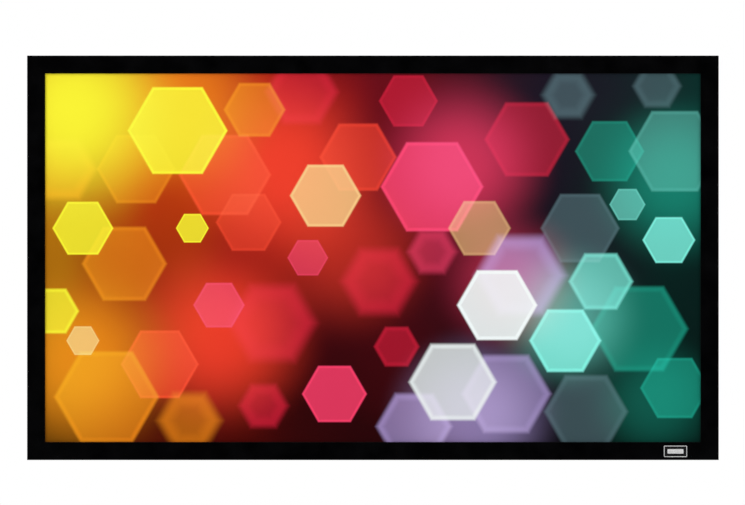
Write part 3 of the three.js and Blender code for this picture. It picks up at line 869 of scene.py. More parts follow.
# %% [markdown]
# A straight ramp would look like wallpaper, so a large, slow noise pushes the field about, and no
# edge between two colours runs straight. The lights are laid one on another: each takes what lies
# under it and hands on the sum.

# %% Lay the field and the lights
def ramp(tree, position, stops):
    node = add(tree, "ValToRGB", {"Fac": position})
    node.color_ramp.interpolation = "EASE"
    elements = node.color_ramp.elements
    while len(elements) < len(stops):
        elements.new(0.5)
    for element, (at, colour) in zip(elements, stops):
        element.position = at
        element.color = colour
    return node.outputs["Color"]


def pushed(tree, coordinate, half, sway, least, most):
    """A coordinate as 0 to 1 across the picture, pushed about by the noise."""
    share = stretch(tree, coordinate, 0, 1, start=-half, end=half)
    return maths(tree, "ADD", share, stretch(tree, sway, least, most))


def lay_lights(tree, colour, place, group, names, lights):
    for x, z, *values in lights:
        inputs = {"Under": colour, "Place": place, "Centre": (x, 0, z), **dict(zip(names, values))}
        colour = add(tree, "Group", inputs, node_tree=group).outputs["Colour"]
    return colour


print("the field is a ramp from 0 at the left to 1 at the right, over", round(2 * ACROSS, 3), "m")

# %% [markdown]
# In the material the field is pushed about and the lights aren't: they are measured flat on the
# sheet, so they keep their sides straight. The vinyl's own grain is the bump, and it has hardly
# any gloss, so that a viewer at the side sees the same picture.

# %% Picture material
def picture_material():
    material = new_material("projected_picture")
    tree = material.node_tree
    place = object_coordinates(tree)
    sway = noise(tree, place, scale=1.3)
    parts = add(tree, "SeparateXYZ", {"Vector": place}).outputs
    across = pushed(tree, parts["X"], ACROSS, sway, least=-0.07, most=0.07)
    upward = pushed(tree, parts["Z"], UPRIGHT, sway, least=0.12, most=-0.12)
    darker = stretch(tree, upward, FOOT_SHADE, HEAD_SHADE, start=0.0, end=0.9)
    colour = blend(tree, 1.0, ramp(tree, across, FIELD), darker, "MULTIPLY")
    flat = add(tree, "CombineXYZ", {"X": parts["X"], "Y": 0.0, "Z": parts["Z"]}).outputs["Vector"]
    colour = lay_lights(tree, colour, flat, glow, GLOW_VALUES, GLOWS)
    colour = lay_lights(tree, colour, flat, hexagon, HEXAGON_VALUES, HEXAGONS)
    grain = noise(tree, place, scale=2600)
    # The picture is the projector's light falling on the white sheet: painted light, laid into the
    # base colour.
    return shade(material, {
        "Base Color": colour,
        "Roughness": 0.9,
        "Specular IOR Level": 0.05,
        "Normal": bump(tree, grain, distance=0.02 * MM, strength=0.35),
    })


picture = picture_material()

# %% [markdown]
# The sheet's margins, which the border hides, are the bare white vinyl, and its back is black so
# that no light comes through from behind. Both have the fine leathery grain of calendered vinyl. A
# tiled image of it would repeat itself over so large a sheet. A fine noise for the grain and a
# slow one for the cloudiness never do.

# %% Vinyl materials
def vinyl_material(name, low, high):
    material = new_material(name)
    tree = material.node_tree
    place = object_coordinates(tree)
    grain = noise(tree, place, scale=900, detail=3)
    cloud = noise(tree, place, scale=3, detail=3)
    return shade(material, {
        "Base Color": blend(tree, stretch(tree, cloud, 0, 1), low, high),
        "Roughness": stretch(tree, grain, 0.56, 0.68),
        "Specular IOR Level": 0.25,
        "Normal": bump(tree, grain, distance=0.05 * MM, strength=0.6),
    })


white_vinyl = vinyl_material("white_vinyl", (0.68, 0.68, 0.66, 1), (0.76, 0.76, 0.74, 1))
black_vinyl = vinyl_material("black_vinyl", (0.010, 0.010, 0.011, 1), (0.016, 0.016, 0.018, 1))

# %% [markdown]
# ## The sheet and its hems
# The sheet is one piece of vinyl. Each edge is folded back round its rod and welded to the back
# of the sheet, and the fold is cut away where a spring has to reach the rod. A cloth simulation
# has nothing to do here, because the sheet is pulled flat. It is drawn as a surface without
# thickness, which Solidify thickens at the end. The fold comes first: most of a circle round the
# rod, and then a short step down to the weld.

# %% The fold's path
SHEET_FRONT = 12.3 * MM
SHEET_THICKNESS = 0.5 * MM
POCKET = ROD_RADIUS + CLEARANCE + SHEET_THICKNESS  # from the rod's middle to the sheet's front
FOLD_STEPS = 18
FOLD_START, FOLD_TURN = -90, 300  # degrees round the rod, from the front
WELD = 22 * MM
WELD_BACK = SHEET_FRONT + 2 * SHEET_THICKNESS + 0.04 * MM
STEP_IN, STEP_BACK = (0.9 * MM, 2.4 * MM), 0.35 * MM  # where the step to the weld begins and ends


def fold_path():
    """From the rod's line on the front, round the rod and in to the end of the weld."""
    points = []
    for step in range(FOLD_STEPS + 1):
        angle = math.radians(FOLD_START + FOLD_TURN * step / FOLD_STEPS)
        points.append((ROD_OUT + POCKET * math.cos(angle), ROD_BACK + POCKET * math.sin(angle)))
    points.append((ROD_OUT - POCKET - STEP_IN[0], WELD_BACK + STEP_BACK))
    points.append((ROD_OUT - POCKET - STEP_IN[1], WELD_BACK))
    points.append((ROD_OUT - POCKET - WELD, WELD_BACK))
    return points


# %% [markdown]
# A hem stops short of the corners, and a notch is punched out of it at every spring. The notches
# could be a list of their own, but they must follow the springs, so they are worked out from the
# same places. Seen along a side, a hem is a row of stretches that are whole or cut away by turns,
# and both the fold and the flat part follow it.

# %% Where the hems are cut
HEM_END = 40 * MM  # from the picture's corner
NOTCH = 14 * MM
NOTCH_OUT = ROD_OUT - POCKET
CORNER_CUT = 12 * MM


def stretches(side):
    """The parts of a side, in order: (start, end, is the hem there)."""
    places = [p for _, s, start, end in RODS if s == side for p in spring_places(start, end)]
    stops = [-(SIDE_HALF[side] - HEM_END)]
    for place in sorted(places):
        stops += [place - NOTCH / 2, place + NOTCH / 2]
    stops.append(SIDE_HALF[side] - HEM_END)
    return [(a, b, i % 2 == 0) for i, (a, b) in enumerate(zip(stops, stops[1:]))]


def notches(side):
    return [(start, end) for start, end, whole in stretches(side) if not whole]


print("notches along the top:", len(notches("top")), "and up a side:", len(notches("right")))

# %% [markdown]
# The flat part could be one face with a boolean for every notch. Laid out as a grid whose lines
# run through the ends of all the cuts, it needs none: the faces that fall in a notch are simply
# left out. The cells at the four corners are cut at 45 degrees, so each gets a face of its own.

# %% The flat part of the sheet
PICTURE_SIDE, MARGIN_SIDE = 0, 1  # material slots
SHEET_Y = FRONT + SHEET_FRONT
WIDE, TALL = ACROSS + ROD_OUT, UPRIGHT + ROD_OUT


def grid_lines(half, side):
    lines = {stop for start, end, _ in stretches(side) for stop in (start, end)}
    for line in (half + ROD_OUT, half + NOTCH_OUT, half + ROD_OUT - CORNER_CUT):
        lines |= {-line, line}
    return sorted(lines)


def is_left_out(x, z):
    in_top_notch = abs(z) > UPRIGHT + NOTCH_OUT and any(a < x < b for a, b in notches("top"))
    in_side_notch = abs(x) > ACROSS + NOTCH_OUT and any(a < z < b for a, b in notches("right"))
    in_corner = abs(x) > WIDE - CORNER_CUT and abs(z) > TALL - CORNER_CUT
    return in_top_notch or in_side_notch or in_corner


def add_face(surface, corners, material):
    face = surface.faces.new([surface.verts.new(corner) for corner in corners])
    face.material_index = material


def add_flat_part(surface):
    columns, rows = grid_lines(ACROSS, "top"), grid_lines(UPRIGHT, "right")
    for left, right in zip(columns, columns[1:]):
        for low, high in zip(rows, rows[1:]):
            if not is_left_out((left + right) / 2, (low + high) / 2):
                around = [(left, low), (right, low), (right, high), (left, high)]
                add_face(surface, [(x, SHEET_Y, z) for x, z in around], PICTURE_SIDE)


def add_corners(surface):
    x0, z0 = WIDE - CORNER_CUT, TALL - CORNER_CUT
    around = [(x0, z0), (ACROSS + NOTCH_OUT, z0), (WIDE, z0), (x0, TALL), (x0, UPRIGHT + NOTCH_OUT)]
    for sx, sz in ((-1, -1), (-1, 1), (1, -1), (1, 1)):
        points = [(sx * x, SHEET_Y, sz * z) for x, z in around]
        if sx * sz < 0:
            points.reverse()
        add_face(surface, points, PICTURE_SIDE)


print("grid lines:", len(grid_lines(ACROSS, "top")), "by", len(grid_lines(UPRIGHT, "right")))

# %% [markdown]
# On the real sheet the fold is made on a bench with a hot bar. Here it is drawn as it ends up:
# strips of faces between neighbouring points of the path, from one end of a stretch to the other.
# In a notch only the welded flap is there.

# %% Fold the hems
def add_hem(surface, side):
    path, place = fold_path(), side_matrix(side)
    for start, end, whole in stretches(side):
        for (out_a, back_a), (out_b, back_b) in zip(path, path[1:]):
            in_weld = max(out_a, out_b) <= NOTCH_OUT + 0.001 * MM and back_a < ROD_BACK
            if whole or in_weld:
                near = [(start, back_a, out_a), (end, back_a, out_a)]
                far = [(end, back_b, out_b), (start, back_b, out_b)]
                add_face(surface, [place @ Vector(corner) for corner in near + far], MARGIN_SIDE)


print("strips of faces in a fold:", len(fold_path()) - 1)

# %% [markdown]
# Doubles are merged, so that the grid and the folds are one surface, and its area is measured.
# Two skins could be drawn from the start, but every cut edge would need faces of its own, and
# Solidify makes those by itself. The front keeps its materials, the back gets the black, and the
# cut edges show the white that the vinyl has inside.

# %% Thicken the sheet
def make_sheet():
    surface = bmesh.new()
    add_flat_part(surface)
    add_corners(surface)
    for side in SIDE_TURN:
        add_hem(surface, side)
    bmesh.ops.remove_doubles(surface, verts=surface.verts, dist=0.01 * MM)
    area = sum(face.calc_area() for face in surface.faces)
    mesh = bpy.data.meshes.new("projection_sheet_vinyl")
    surface.to_mesh(mesh)
    surface.free()
    piece = bpy.data.objects.new(mesh.name, mesh)
    bpy.context.scene.collection.objects.link(piece)
    for material in (picture, white_vinyl, black_vinyl, black_vinyl):
        mesh.materials.append(material)
    faces_wall = mesh.polygons[0].normal.y > 0
    apply_modifier(
        piece, "SOLIDIFY", thickness=SHEET_THICKNESS, offset=1 if faces_wall else -1,
        use_flip_normals=faces_wall, material_offset=2, material_offset_rim=1, use_even_offset=True,
    )
    smooth(piece, angle=40)
    return piece, area


sheet, sheet_area = make_sheet()
finished(sheet, "sheet_white", "projection_sheet")

# %% [markdown]
# ## Zinc plated steel
# The flat brackets and the straps are plain steel with bright zinc on it. It has a cool tint and a
# mottled gloss, from the way the zinc settles in small patches. A flat grey metal would look like
# plastic, so a cell pattern gives each patch its own roughness.

# %% Zinc material
def zinc_material():
    material = new_material("zinc_plate")
    tree = material.node_tree
    place = object_coordinates(tree)
    cells = add(tree, "TexVoronoi", {"Vector": place, "Scale": 160.0}).outputs["Color"]
    patch = add(tree, "SeparateColor", {"Color": cells}).outputs["Red"]
    mottle = noise(tree, place, scale=60, detail=4)
    dark, light = (0.33, 0.345, 0.37, 1), (0.46, 0.47, 0.48, 1)
    return shade(material, {
        "Base Color": blend(tree, stretch(tree, mottle, 0, 1), dark, light),
        "Metallic": 0.95,
        "Roughness": stretch(tree, patch, 0.30, 0.46, start=0, end=1),
        "Normal": bump(tree, mottle, distance=0.04 * MM, strength=0.5),
    })


zinc = zinc_material()

# %% [markdown]
# ## Solids from an outline
# The metal parts are flat or bent strips: an outline with a thickness. Such a strip could be a
# curve with an extrude depth, but only a mesh takes holes and bevels. So a circle primitive with
# as many points as the outline has is laid on it and filled, and one extrude gives the thickness.
# Holes and slots are cut by booleans, as a drill and a press cut them.

# %% Extrude an outline and drill it
def outline_solid(name, outline, place, reach):
    """place puts a point (a, b) of the outline on the first face, and reach leads to the other."""
    clean_start()
    bpy.ops.mesh.primitive_circle_add(vertices=len(outline), radius=1, fill_type="NGON")
    piece = bpy.context.object
    piece.name = piece.data.name = name
    for vertex, point in zip(piece.data.vertices, outline):
        vertex.co = place(*point)
    bpy.ops.object.mode_set(mode="EDIT")
    bpy.ops.mesh.select_all(action="SELECT")
    bpy.ops.mesh.extrude_region_move(TRANSFORM_OT_translate={"value": reach})
    bpy.ops.object.mode_set(mode="OBJECT")
    outward(piece)
    return piece


def upright_plate(name, outline, front, back):
    """A plate square to Y, its outline given as (x, z)."""
    return outline_solid(name, outline, lambda x, z: (x, front, z), reach=(0, back - front, 0))


def drill(piece, cutters):
    for cutter in cutters:
        apply_modifier(piece, "BOOLEAN", operation="DIFFERENCE", object=cutter, solver="EXACT")
        bpy.data.objects.remove(cutter)


def drill_bit(radius, place, length):
    return add_cylinder(sides=32, radius=radius, length=length, place=place)


meshes = [piece for piece in bpy.data.objects if piece.type == "MESH"]
print("pieces made so far:", len(meshes) - len(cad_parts))

# %% [markdown]
# ## Brackets in the channel
# Flat steel bars lock the lengths to each other: an L in each corner, and a straight bar where
# two lengths meet end to end. They are stamped from thick strip, so their edges are slightly
# rounded and their holes are clean. One of each is made, and copied to its places later.

# %% Sizes of the flat strip
splice_low, splice_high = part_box("splice_bar_top")
CHANNEL_MIDDLE = (splice_low.z + splice_high.z) / 2 - UPRIGHT
STRIP_HALF = (splice_high.z - splice_low.z) / 2
STRIP_IN, STRIP_OUT = CHANNEL_MIDDLE - STRIP_HALF, CHANNEL_MIDDLE + STRIP_HALF
STRIP_FRONT, STRIP_BACK = splice_low.y - FRONT, splice_high.y - FRONT
SPLICE_HALF = splice_high.x
CORNER_ARM = 100 * MM
STRIP_CORNER, ELBOW = 1.5 * MM, 2 * MM  # radii
CORNER_SCREWS = (38 * MM, 78 * MM)  # from the outer corner
SPLICE_SCREWS = (18 * MM, 50 * MM)  # from each end
HOLE_RADIUS = 2.6 * MM
print("strip", round(2 * STRIP_HALF / MM, 2), "by", round((STRIP_BACK - STRIP_FRONT) / MM, 2), "mm")

# %% [markdown]
# The outline is cut out, the holes are drilled, the edges are softened and the zinc goes on, in the
# order of the works. The corner bracket is drawn in the top right corner of the picture, and the
# splice bar across the middle of the top.

# %% Stamp the brackets
def flat_bracket(corners, holes):
    outline = rounded(corners, steps=4, closed=True)
    piece = upright_plate("bracket", outline, STRIP_FRONT, STRIP_BACK)
    middle = (STRIP_FRONT + STRIP_BACK) / 2
    drill(piece, [drill_bit(HOLE_RADIUS, (x, middle, z), length=12 * MM) for x, z in holes])
    soften(piece, radius=0.35 * MM, angle=50)
    piece.data.materials.append(zinc)
    smooth(piece)
    return piece


arm_tip = STRIP_OUT - CORNER_ARM
corner_holes = []
for far in CORNER_SCREWS:
    corner_holes += [(STRIP_OUT - far, CHANNEL_MIDDLE), (CHANNEL_MIDDLE, STRIP_OUT - far)]
corner_master = flat_bracket([
    (STRIP_OUT, STRIP_OUT, ELBOW),
    (arm_tip, STRIP_OUT, STRIP_CORNER), (arm_tip, STRIP_IN, STRIP_CORNER),
    (STRIP_IN, STRIP_IN, STRIP_CORNER),
    (STRIP_IN, arm_tip, STRIP_CORNER), (STRIP_OUT, arm_tip, STRIP_CORNER),
], corner_holes)

splice_holes = []
for far in SPLICE_SCREWS:
    splice_holes += [(far - SPLICE_HALF, CHANNEL_MIDDLE), (SPLICE_HALF - far, CHANNEL_MIDDLE)]
splice_master = flat_bracket([
    (-SPLICE_HALF, STRIP_IN, STRIP_CORNER), (SPLICE_HALF, STRIP_IN, STRIP_CORNER),
    (SPLICE_HALF, STRIP_OUT, STRIP_CORNER), (-SPLICE_HALF, STRIP_OUT, STRIP_CORNER),
], splice_holes)
print("corner bracket:", len(corner_holes), "holes, splice bar:", len(splice_holes), "holes")

# %% [markdown]
# ## Blackened steel
# Small screws are blackened in a hot bath of salts and then oiled. That gives a deep, slightly
# shiny black. It could be a black paint, but the edges of a blackened screw still shine like
# metal, so the shader stays metallic and a small noise clouds its tone and gloss.

# %% Blackened steel material
def blackened_material():
    material = new_material("blackened_steel")
    tree = material.node_tree
    cloud = noise(tree, object_coordinates(tree), scale=420, detail=3)
    return shade(material, {
        "Base Color": blend(tree, cloud, (0.018, 0.018, 0.020, 1), (0.045, 0.045, 0.048, 1)),
        "Metallic": 0.8,
        "Roughness": stretch(tree, cloud, 0.28, 0.45),
    })


blackened = blackened_material()

# %% [markdown]
# ## Set screws
# A set screw is a short threaded pin with a hexagon socket. Only its socket shows, so the thread
# is left out. The socket could be cut with a boolean. Here the pin's rear face is inset, the inset
# ring is drawn in to a hexagon, and that is pushed down, which keeps the ring of faces round it
# clean. Its floor is a shallow cone, as a drill leaves it.

# %% Helpers for the socket
SCREW_RADIUS = 2.3 * MM
SCREW_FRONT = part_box("splice_bar_top_set_screw_1")[0].y - FRONT
SOCKET_RADIUS, SOCKET_DEPTH, SOCKET_POINT = 1.3 * MM, 2.7 * MM, 0.3 * MM


def select_only(mesh, chosen):
    """Selects the chosen faces of a mesh, and nothing else."""
    for part in (*mesh.vertices, *mesh.edges):
        part.select = False
    for face in mesh.polygons:
        face.select = face in chosen


def draw_in_to_hexagon(mesh, radius):
    for vertex in mesh.vertices:
        if vertex.select:
            angle = math.atan2(vertex.co.z, vertex.co.x)
            from_side = (angle % (math.pi / 3)) - math.pi / 6
            reach = radius * math.cos(math.pi / 6) / math.cos(from_side)
            vertex.co.x, vertex.co.z = reach * math.cos(angle), reach * math.sin(angle)


print("a screw is", round((STRIP_BACK - SCREW_FRONT) / MM, 2), "mm long")

# %% [markdown]
# The screw is made over the origin at its own depth. It ends flush with the bracket's rear face,
# where a fitter's key can reach it.

# %% Make the set screw
def make_set_screw():
    length, middle = STRIP_BACK - SCREW_FRONT, (STRIP_BACK + SCREW_FRONT) / 2
    screw = add_cylinder(sides=24, radius=SCREW_RADIUS, length=length, place=(0, middle, 0))
    soften(screw, radius=0.4 * MM, angle=60)
    rear = max(face.center.y for face in screw.data.polygons)
    select_only(screw.data, [face for face in screw.data.polygons if face.center.y > rear - MERGE])
    bpy.ops.object.mode_set(mode="EDIT")
    bpy.ops.mesh.select_mode(type="FACE")
    bpy.ops.mesh.inset(thickness=0.4 * MM)
    bpy.ops.object.mode_set(mode="OBJECT")
    draw_in_to_hexagon(screw.data, SOCKET_RADIUS)
    bpy.ops.object.mode_set(mode="EDIT")
    bpy.ops.mesh.extrude_region_move(TRANSFORM_OT_translate={"value": (0, -SOCKET_DEPTH, 0)})
    bpy.ops.mesh.poke(offset=-SOCKET_POINT)
    bpy.ops.object.mode_set(mode="OBJECT")
    screw.data.materials.append(blackened)
    smooth(screw, angle=30)
    return screw


screw_master = make_set_screw()
print("one set screw:", len(screw_master.data.polygons), "faces")

# %% [markdown]
# The brackets and screws go to their places as copies. Linked copies would be lighter, but a piece
# is handed over with a mesh of its own. A fitter tightens each screw until it bites, so the four
# sockets of a bracket are never turned alike, and each copy gets its own twist.

# %% Put the brackets and screws in place
TWIST_START, TWIST_STEP = 5, 17  # degrees
CORNERS = [
    ("top_right", 0, (ACROSS, FRONT, UPRIGHT)),
    ("bottom_right", 90, (ACROSS, FRONT, -UPRIGHT)),
    ("bottom_left", 180, (-ACROSS, FRONT, -UPRIGHT)),
    ("top_left", 270, (-ACROSS, FRONT, UPRIGHT)),
]


def place_copy(source, name, matrix, slot, node):
    piece = source.copy()
    piece.data = source.data.copy()
    piece.name = piece.data.name = name
    bpy.context.scene.collection.objects.link(piece)
    piece.data.transform(matrix)
    finished(piece, slot, node)


def place_bracket(name, master, holes, matrix):
    place_copy(master, name + "_plate", matrix, "zinc_steel", name)
    for i, (x, z) in enumerate(holes):
        node = f"{name}_set_screw_{i + 1}"
        twist = Matrix.Rotation(math.radians(TWIST_STEP * i + TWIST_START), 4, "Y")
        at_hole = matrix @ Matrix.Translation((x, 0, z)) @ twist
        place_copy(screw_master, node + "_socket", at_hole, "black_steel", node)


for corner, turn, place in CORNERS:
    corner_matrix = Matrix.Translation(place) @ Matrix.Rotation(math.radians(turn), 4, "Y")
    place_bracket("corner_bracket_" + corner, corner_master, corner_holes, corner_matrix)
for side in ("top", "bottom"):
    place_bracket("splice_bar_" + side, splice_master, splice_holes, side_matrix(side))
for master in (corner_master, splice_master, screw_master):
    bpy.data.objects.remove(master)

# %% [markdown]
# ## Bent strips
# Wall brackets and straps are strips of steel bent on a press: the outside of a bend has a large
# radius and the inside a small one. A flat strip could be bent by a modifier, but its radii would
# be hard to hold. So each is one outline of rounded corners, drawn from the side, and extruded
# across its width. Its free corners are rounded after that, by bevelling the edges that run
# through the plate.

# %% Bend a strip
def bent_strip(name, corners, width, material):
    outline = rounded(corners, steps=5, closed=True)
    piece = outline_solid(name, outline, lambda up, back: (-width / 2, back, up), reach=(width, 0, 0))
    piece.data.materials.append(material)
    return piece


def select_edges(mesh, is_chosen):
    """Selects the edges whose two ends pass a test, and nothing else."""
    for part in (*mesh.vertices, *mesh.polygons):
        part.select = False
    for edge in mesh.edges:
        edge.select = is_chosen(*(mesh.vertices[i].co for i in edge.vertices))


def round_free_corners(piece, radius, height, behind):
    """Bevels the edges that run through a plate at the given height, behind the given depth."""
    def runs_through(a, b):
        along_y = abs(a.x - b.x) < 0.01 * MM and abs(a.z - b.z) < 0.01 * MM
        return along_y and abs(a.z - height) < 0.05 * MM and min(a.y, b.y) > behind

    only(piece)
    select_edges(piece.data, runs_through)
    bpy.ops.object.mode_set(mode="EDIT")
    bpy.ops.mesh.select_mode(type="EDGE")
    bpy.ops.mesh.bevel(offset=radius, segments=5, affect="EDGES")
    bpy.ops.object.mode_set(mode="OBJECT")


SEARCH_MARGIN = 1 * MM  # the search for a plate's free corners starts this far ahead of its front
print("free corners are looked for from", SEARCH_MARGIN / MM, "mm ahead of a plate")

# %% [markdown]
# ## Powder coat
# Powder coat is sprayed on dry and melts into a skin with a fine orange peel, and dust takes some
# of its gloss. A flat black would pass for plastic, so a noise of about a millimetre is the bump,
# and a slower one is the dust.

# %% Powder coat material
def powder_coat_material():
    material = new_material("powder_coat")
    tree = material.node_tree
    place = object_coordinates(tree)
    peel = noise(tree, place, scale=700)
    dust = noise(tree, place, scale=30, detail=4)
    dark, light = (0.012, 0.012, 0.013, 1), (0.022, 0.022, 0.024, 1)
    return shade(material, {
        "Base Color": blend(tree, stretch(tree, dust, 0, 1), dark, light),
        "Roughness": stretch(tree, dust, 0.38, 0.52),
        "Specular IOR Level": 0.5,
        "Normal": bump(tree, peel, distance=0.08 * MM, strength=0.6),
    })


powder_coat = powder_coat_material()

# %% [markdown]
# ## Wall brackets
# A wall bracket is a hook and a plate of steel. The two upper ones carry the screen on hooks that
# point up, with their plates below. The two lower ones have their plates above, and only keep the
# bottom edge to the wall. They could be two drawings. They differ only in the way the plate turns,
# so one outline does for both, with the bend's inside and outside changed over. The slots are cut
# with a cutter whose outline is two half circles.

# %% Draw the wall bracket from the side
PLATE = 2.5 * MM
PLATE_FRONT = 36.5 * MM
PLATE_BACK = PLATE_FRONT + PLATE
HOOK_BACK = 33.1 * MM
HOOK_FRONT = HOOK_BACK - PLATE
HOOK_HEIGHT = 5.3 * MM
BRACKET_HEIGHT, BRACKET_WIDTH = 45 * MM, 80 * MM
OUTSIDE, INSIDE = 3.0 * MM, 0.5 * MM  # the radii of a bend
SLOT_LENGTH, SLOT_RADIUS = 14 * MM, 3.25 * MM
SLOT_PLACE, SLOT_DROP = 22 * MM, 22 * MM  # from the bracket's middle, and from its ledge
SLOT_STEPS = 24


def slot_cutter(x, z):
    outline = []
    for step in range(SLOT_STEPS + 1):
        angle = math.radians(-90 + 360 * step / SLOT_STEPS)
        shift = (SLOT_LENGTH / 2 - SLOT_RADIUS) * (1 if step <= SLOT_STEPS / 2 else -1)
        across, up = SLOT_RADIUS * math.cos(angle), SLOT_RADIUS * math.sin(angle)
        outline.append((x + shift + across, z + up))
    middle, reach = (PLATE_FRONT + PLATE_BACK) / 2, 6 * MM
    return upright_plate("slot_cutter", outline, middle - reach, middle + reach)


def bracket_corners(plate_up, end):
    """The side view, as (up, back, radius), from the hook's front round and back to its tip."""
    nose = [(HOOK_HEIGHT, HOOK_FRONT, 0), (-PLATE, HOOK_FRONT, OUTSIDE)]
    rear, face = (PLATE_BACK, OUTSIDE), (PLATE_FRONT, INSIDE)
    first, second = (rear, face) if plate_up else (face, rear)
    plate = [(-PLATE, *first), (end, first[0], 0), (end, second[0], 0), (0, *second)]
    return nose + plate + [(0, HOOK_BACK, INSIDE), (HOOK_HEIGHT, HOOK_BACK, 0)]


print("corners in a bracket's side view:", len(bracket_corners(True, BRACKET_HEIGHT)))

# %% [markdown]
# Each kind is pressed once and copied to its two places, which are read off the frame's own
# brackets. The free corners of the plate get a large radius, and those of the hook a small one.

# %% Press the wall brackets
def make_wall_bracket(plate_up):
    end = BRACKET_HEIGHT - PLATE if plate_up else -BRACKET_HEIGHT
    height = SLOT_DROP if plate_up else -SLOT_DROP
    piece = bent_strip("wall_bracket", bracket_corners(plate_up, end), BRACKET_WIDTH, powder_coat)
    round_free_corners(piece, radius=5 * MM, height=end, behind=PLATE_FRONT - SEARCH_MARGIN)
    round_free_corners(piece, radius=2 * MM, height=HOOK_HEIGHT, behind=HOOK_FRONT - SEARCH_MARGIN)
    drill(piece, [slot_cutter(x, height) for x in (-SLOT_PLACE, SLOT_PLACE)])
    soften(piece, radius=0.3 * MM, angle=50)
    smooth(piece)
    return piece


top_bracket, bottom_bracket = make_wall_bracket(False), make_wall_bracket(True)
for corner in ("top_left", "top_right", "bottom_left", "bottom_right"):
    node = "wall_bracket_" + corner
    low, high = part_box(node)
    at_bottom = corner.startswith("bottom")
    master = bottom_bracket if at_bottom else top_bracket
    ledge = low.z + PLATE if at_bottom else high.z - HOOK_HEIGHT
    matrix = Matrix.Translation(((low.x + high.x) / 2, FRONT, ledge))
    place_copy(master, node + "_bent", matrix, "bracket_paint", node)
for master in (top_bracket, bottom_bracket):
    bpy.data.objects.remove(master)

# %% [markdown]
# ## Straps
# The support bar stands behind the sheet and keeps the long sides from bowing in. A strap at each
# of its ends hooks over the channel's lip. It is the same kind of bent strip, so it is made the
# same way, and its sizes are read off the frame's own strap.

# %% Bend the strap
strap_low, strap_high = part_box("support_strap_top")
STRAP = 1.5 * MM  # its thickness
STRAP_BACK = strap_high.y - FRONT
STRAP_FRONT = STRAP_BACK - STRAP
STRAP_HOOK = strap_low.y - FRONT
STRAP_START, STRAP_END = strap_low.z - UPRIGHT, strap_high.z - UPRIGHT
STRAP_WIDTH = strap_high.x - strap_low.x
SHANK_RADIUS, SHANK_LENGTH = 1.8 * MM, 6 * MM
SCREW_UP = -20 * MM  # from the picture's edge


def make_strap():
    inner, outer = 0.2 * MM, 1.4 * MM  # the radii of the bend
    inside = STRAP_END - STRAP
    piece = bent_strip("support_strap", [
        (STRAP_START, STRAP_FRONT, 0), (inside, STRAP_FRONT, inner), (inside, STRAP_HOOK, 0),
        (STRAP_END, STRAP_HOOK, 0), (STRAP_END, STRAP_BACK, outer), (STRAP_START, STRAP_BACK, 0),
    ], STRAP_WIDTH, zinc)
    round_free_corners(piece, radius=4 * MM, height=STRAP_START, behind=STRAP_FRONT - SEARCH_MARGIN)
    middle = (STRAP_FRONT + STRAP_BACK) / 2
    drill(piece, [drill_bit(SHANK_RADIUS + CLEARANCE, (0, middle, SCREW_UP), length=6 * MM)])
    soften(piece, radius=0.2 * MM, angle=50)
    smooth(piece)
    return piece


strap_master = make_strap()
print("the strap starts", round(-STRAP_START / MM, 1), "mm below the picture's edge")

# %% [markdown]
# One pan head screw holds each strap. Its head is a cylinder whose rear edge is rounded over, and
# its cross recess is two slots cut at right angles. A real recess tapers, which is too small to
# see here. The shank goes down through the strap's hole into the bar.

# %% Turn the strap's screw
HEAD_RADIUS, HEAD_HEIGHT, HEAD_ROUND = 4 * MM, 1.5 * MM, 0.9 * MM
RECESS = (4.4 * MM, 1.8 * MM, 0.9 * MM)  # a slot's length, depth and width, half sunk in the head
HEAD_FRONT = STRAP_BACK + CLEARANCE
HEAD_BACK = HEAD_FRONT + HEAD_HEIGHT
SHANK_OVERLAP = 0.2 * MM  # how far the shank runs on inside the head


def make_head():
    middle = (0, (HEAD_FRONT + HEAD_BACK) / 2, SCREW_UP)
    head = add_cylinder(sides=32, radius=HEAD_RADIUS, length=HEAD_HEIGHT, place=middle)
    select_edges(head.data, lambda a, b: min(a.y, b.y) > HEAD_BACK - 0.01 * MM)
    bpy.ops.object.mode_set(mode="EDIT")
    bpy.ops.mesh.select_mode(type="EDGE")
    bpy.ops.mesh.bevel(offset=HEAD_ROUND, segments=4, affect="EDGES", clamp_overlap=True)
    bpy.ops.object.mode_set(mode="OBJECT")
    return head


def recess_slot(turn):
    clean_start()
    bpy.ops.mesh.primitive_cube_add(
        size=1, location=(0, HEAD_BACK, SCREW_UP), scale=RECESS, rotation=(0, turn, 0)
    )
    bpy.ops.object.transform_apply(location=True, rotation=True, scale=True)
    return bpy.context.object


def make_strap_screw():
    head = make_head()
    drill(head, [recess_slot(turn) for turn in (0, math.pi / 2)])
    middle = (0, HEAD_FRONT - SHANK_LENGTH / 2 + SHANK_OVERLAP, SCREW_UP)
    shank = add_cylinder(sides=20, radius=SHANK_RADIUS, length=SHANK_LENGTH, place=middle)
    soften(shank, radius=0.5 * MM, angle=60)
    screw = join("strap_screw", [head, shank])
    screw.data.materials.append(blackened)
    smooth(screw)
    return screw


strap_screw_master = make_strap_screw()
print("the screw's head:", 2 * HEAD_RADIUS / MM, "mm across")

# %% [markdown]
# The strap and its screw are drawn at the top, so the bottom ones are the same two pieces turned
# half round, as a fitter would put them on.

# %% Put the straps in place
for side in ("top", "bottom"):
    matrix = side_matrix(side)
    strap_node, screw_node = "support_strap_" + side, "support_strap_screw_" + side
    place_copy(strap_master, strap_node + "_bent", matrix, "zinc_steel", strap_node)
    place_copy(strap_screw_master, screw_node + "_pan_head", matrix, "black_steel", screw_node)
for master in (strap_master, strap_screw_master):
    bpy.data.objects.remove(master)

# %% [markdown]
# ## The badge
# The badge is a small stamped plate: a bright rim, a black field, and a raised bright panel in
# the middle that is left blank. The bright metal is brushed lengthways, which is the same kind of
# squeezed noise as the aluminium's lines, and the field is smooth enamel. One material could hold
# both behind a mask, but two materials on faces of their own meet in a sharp line.

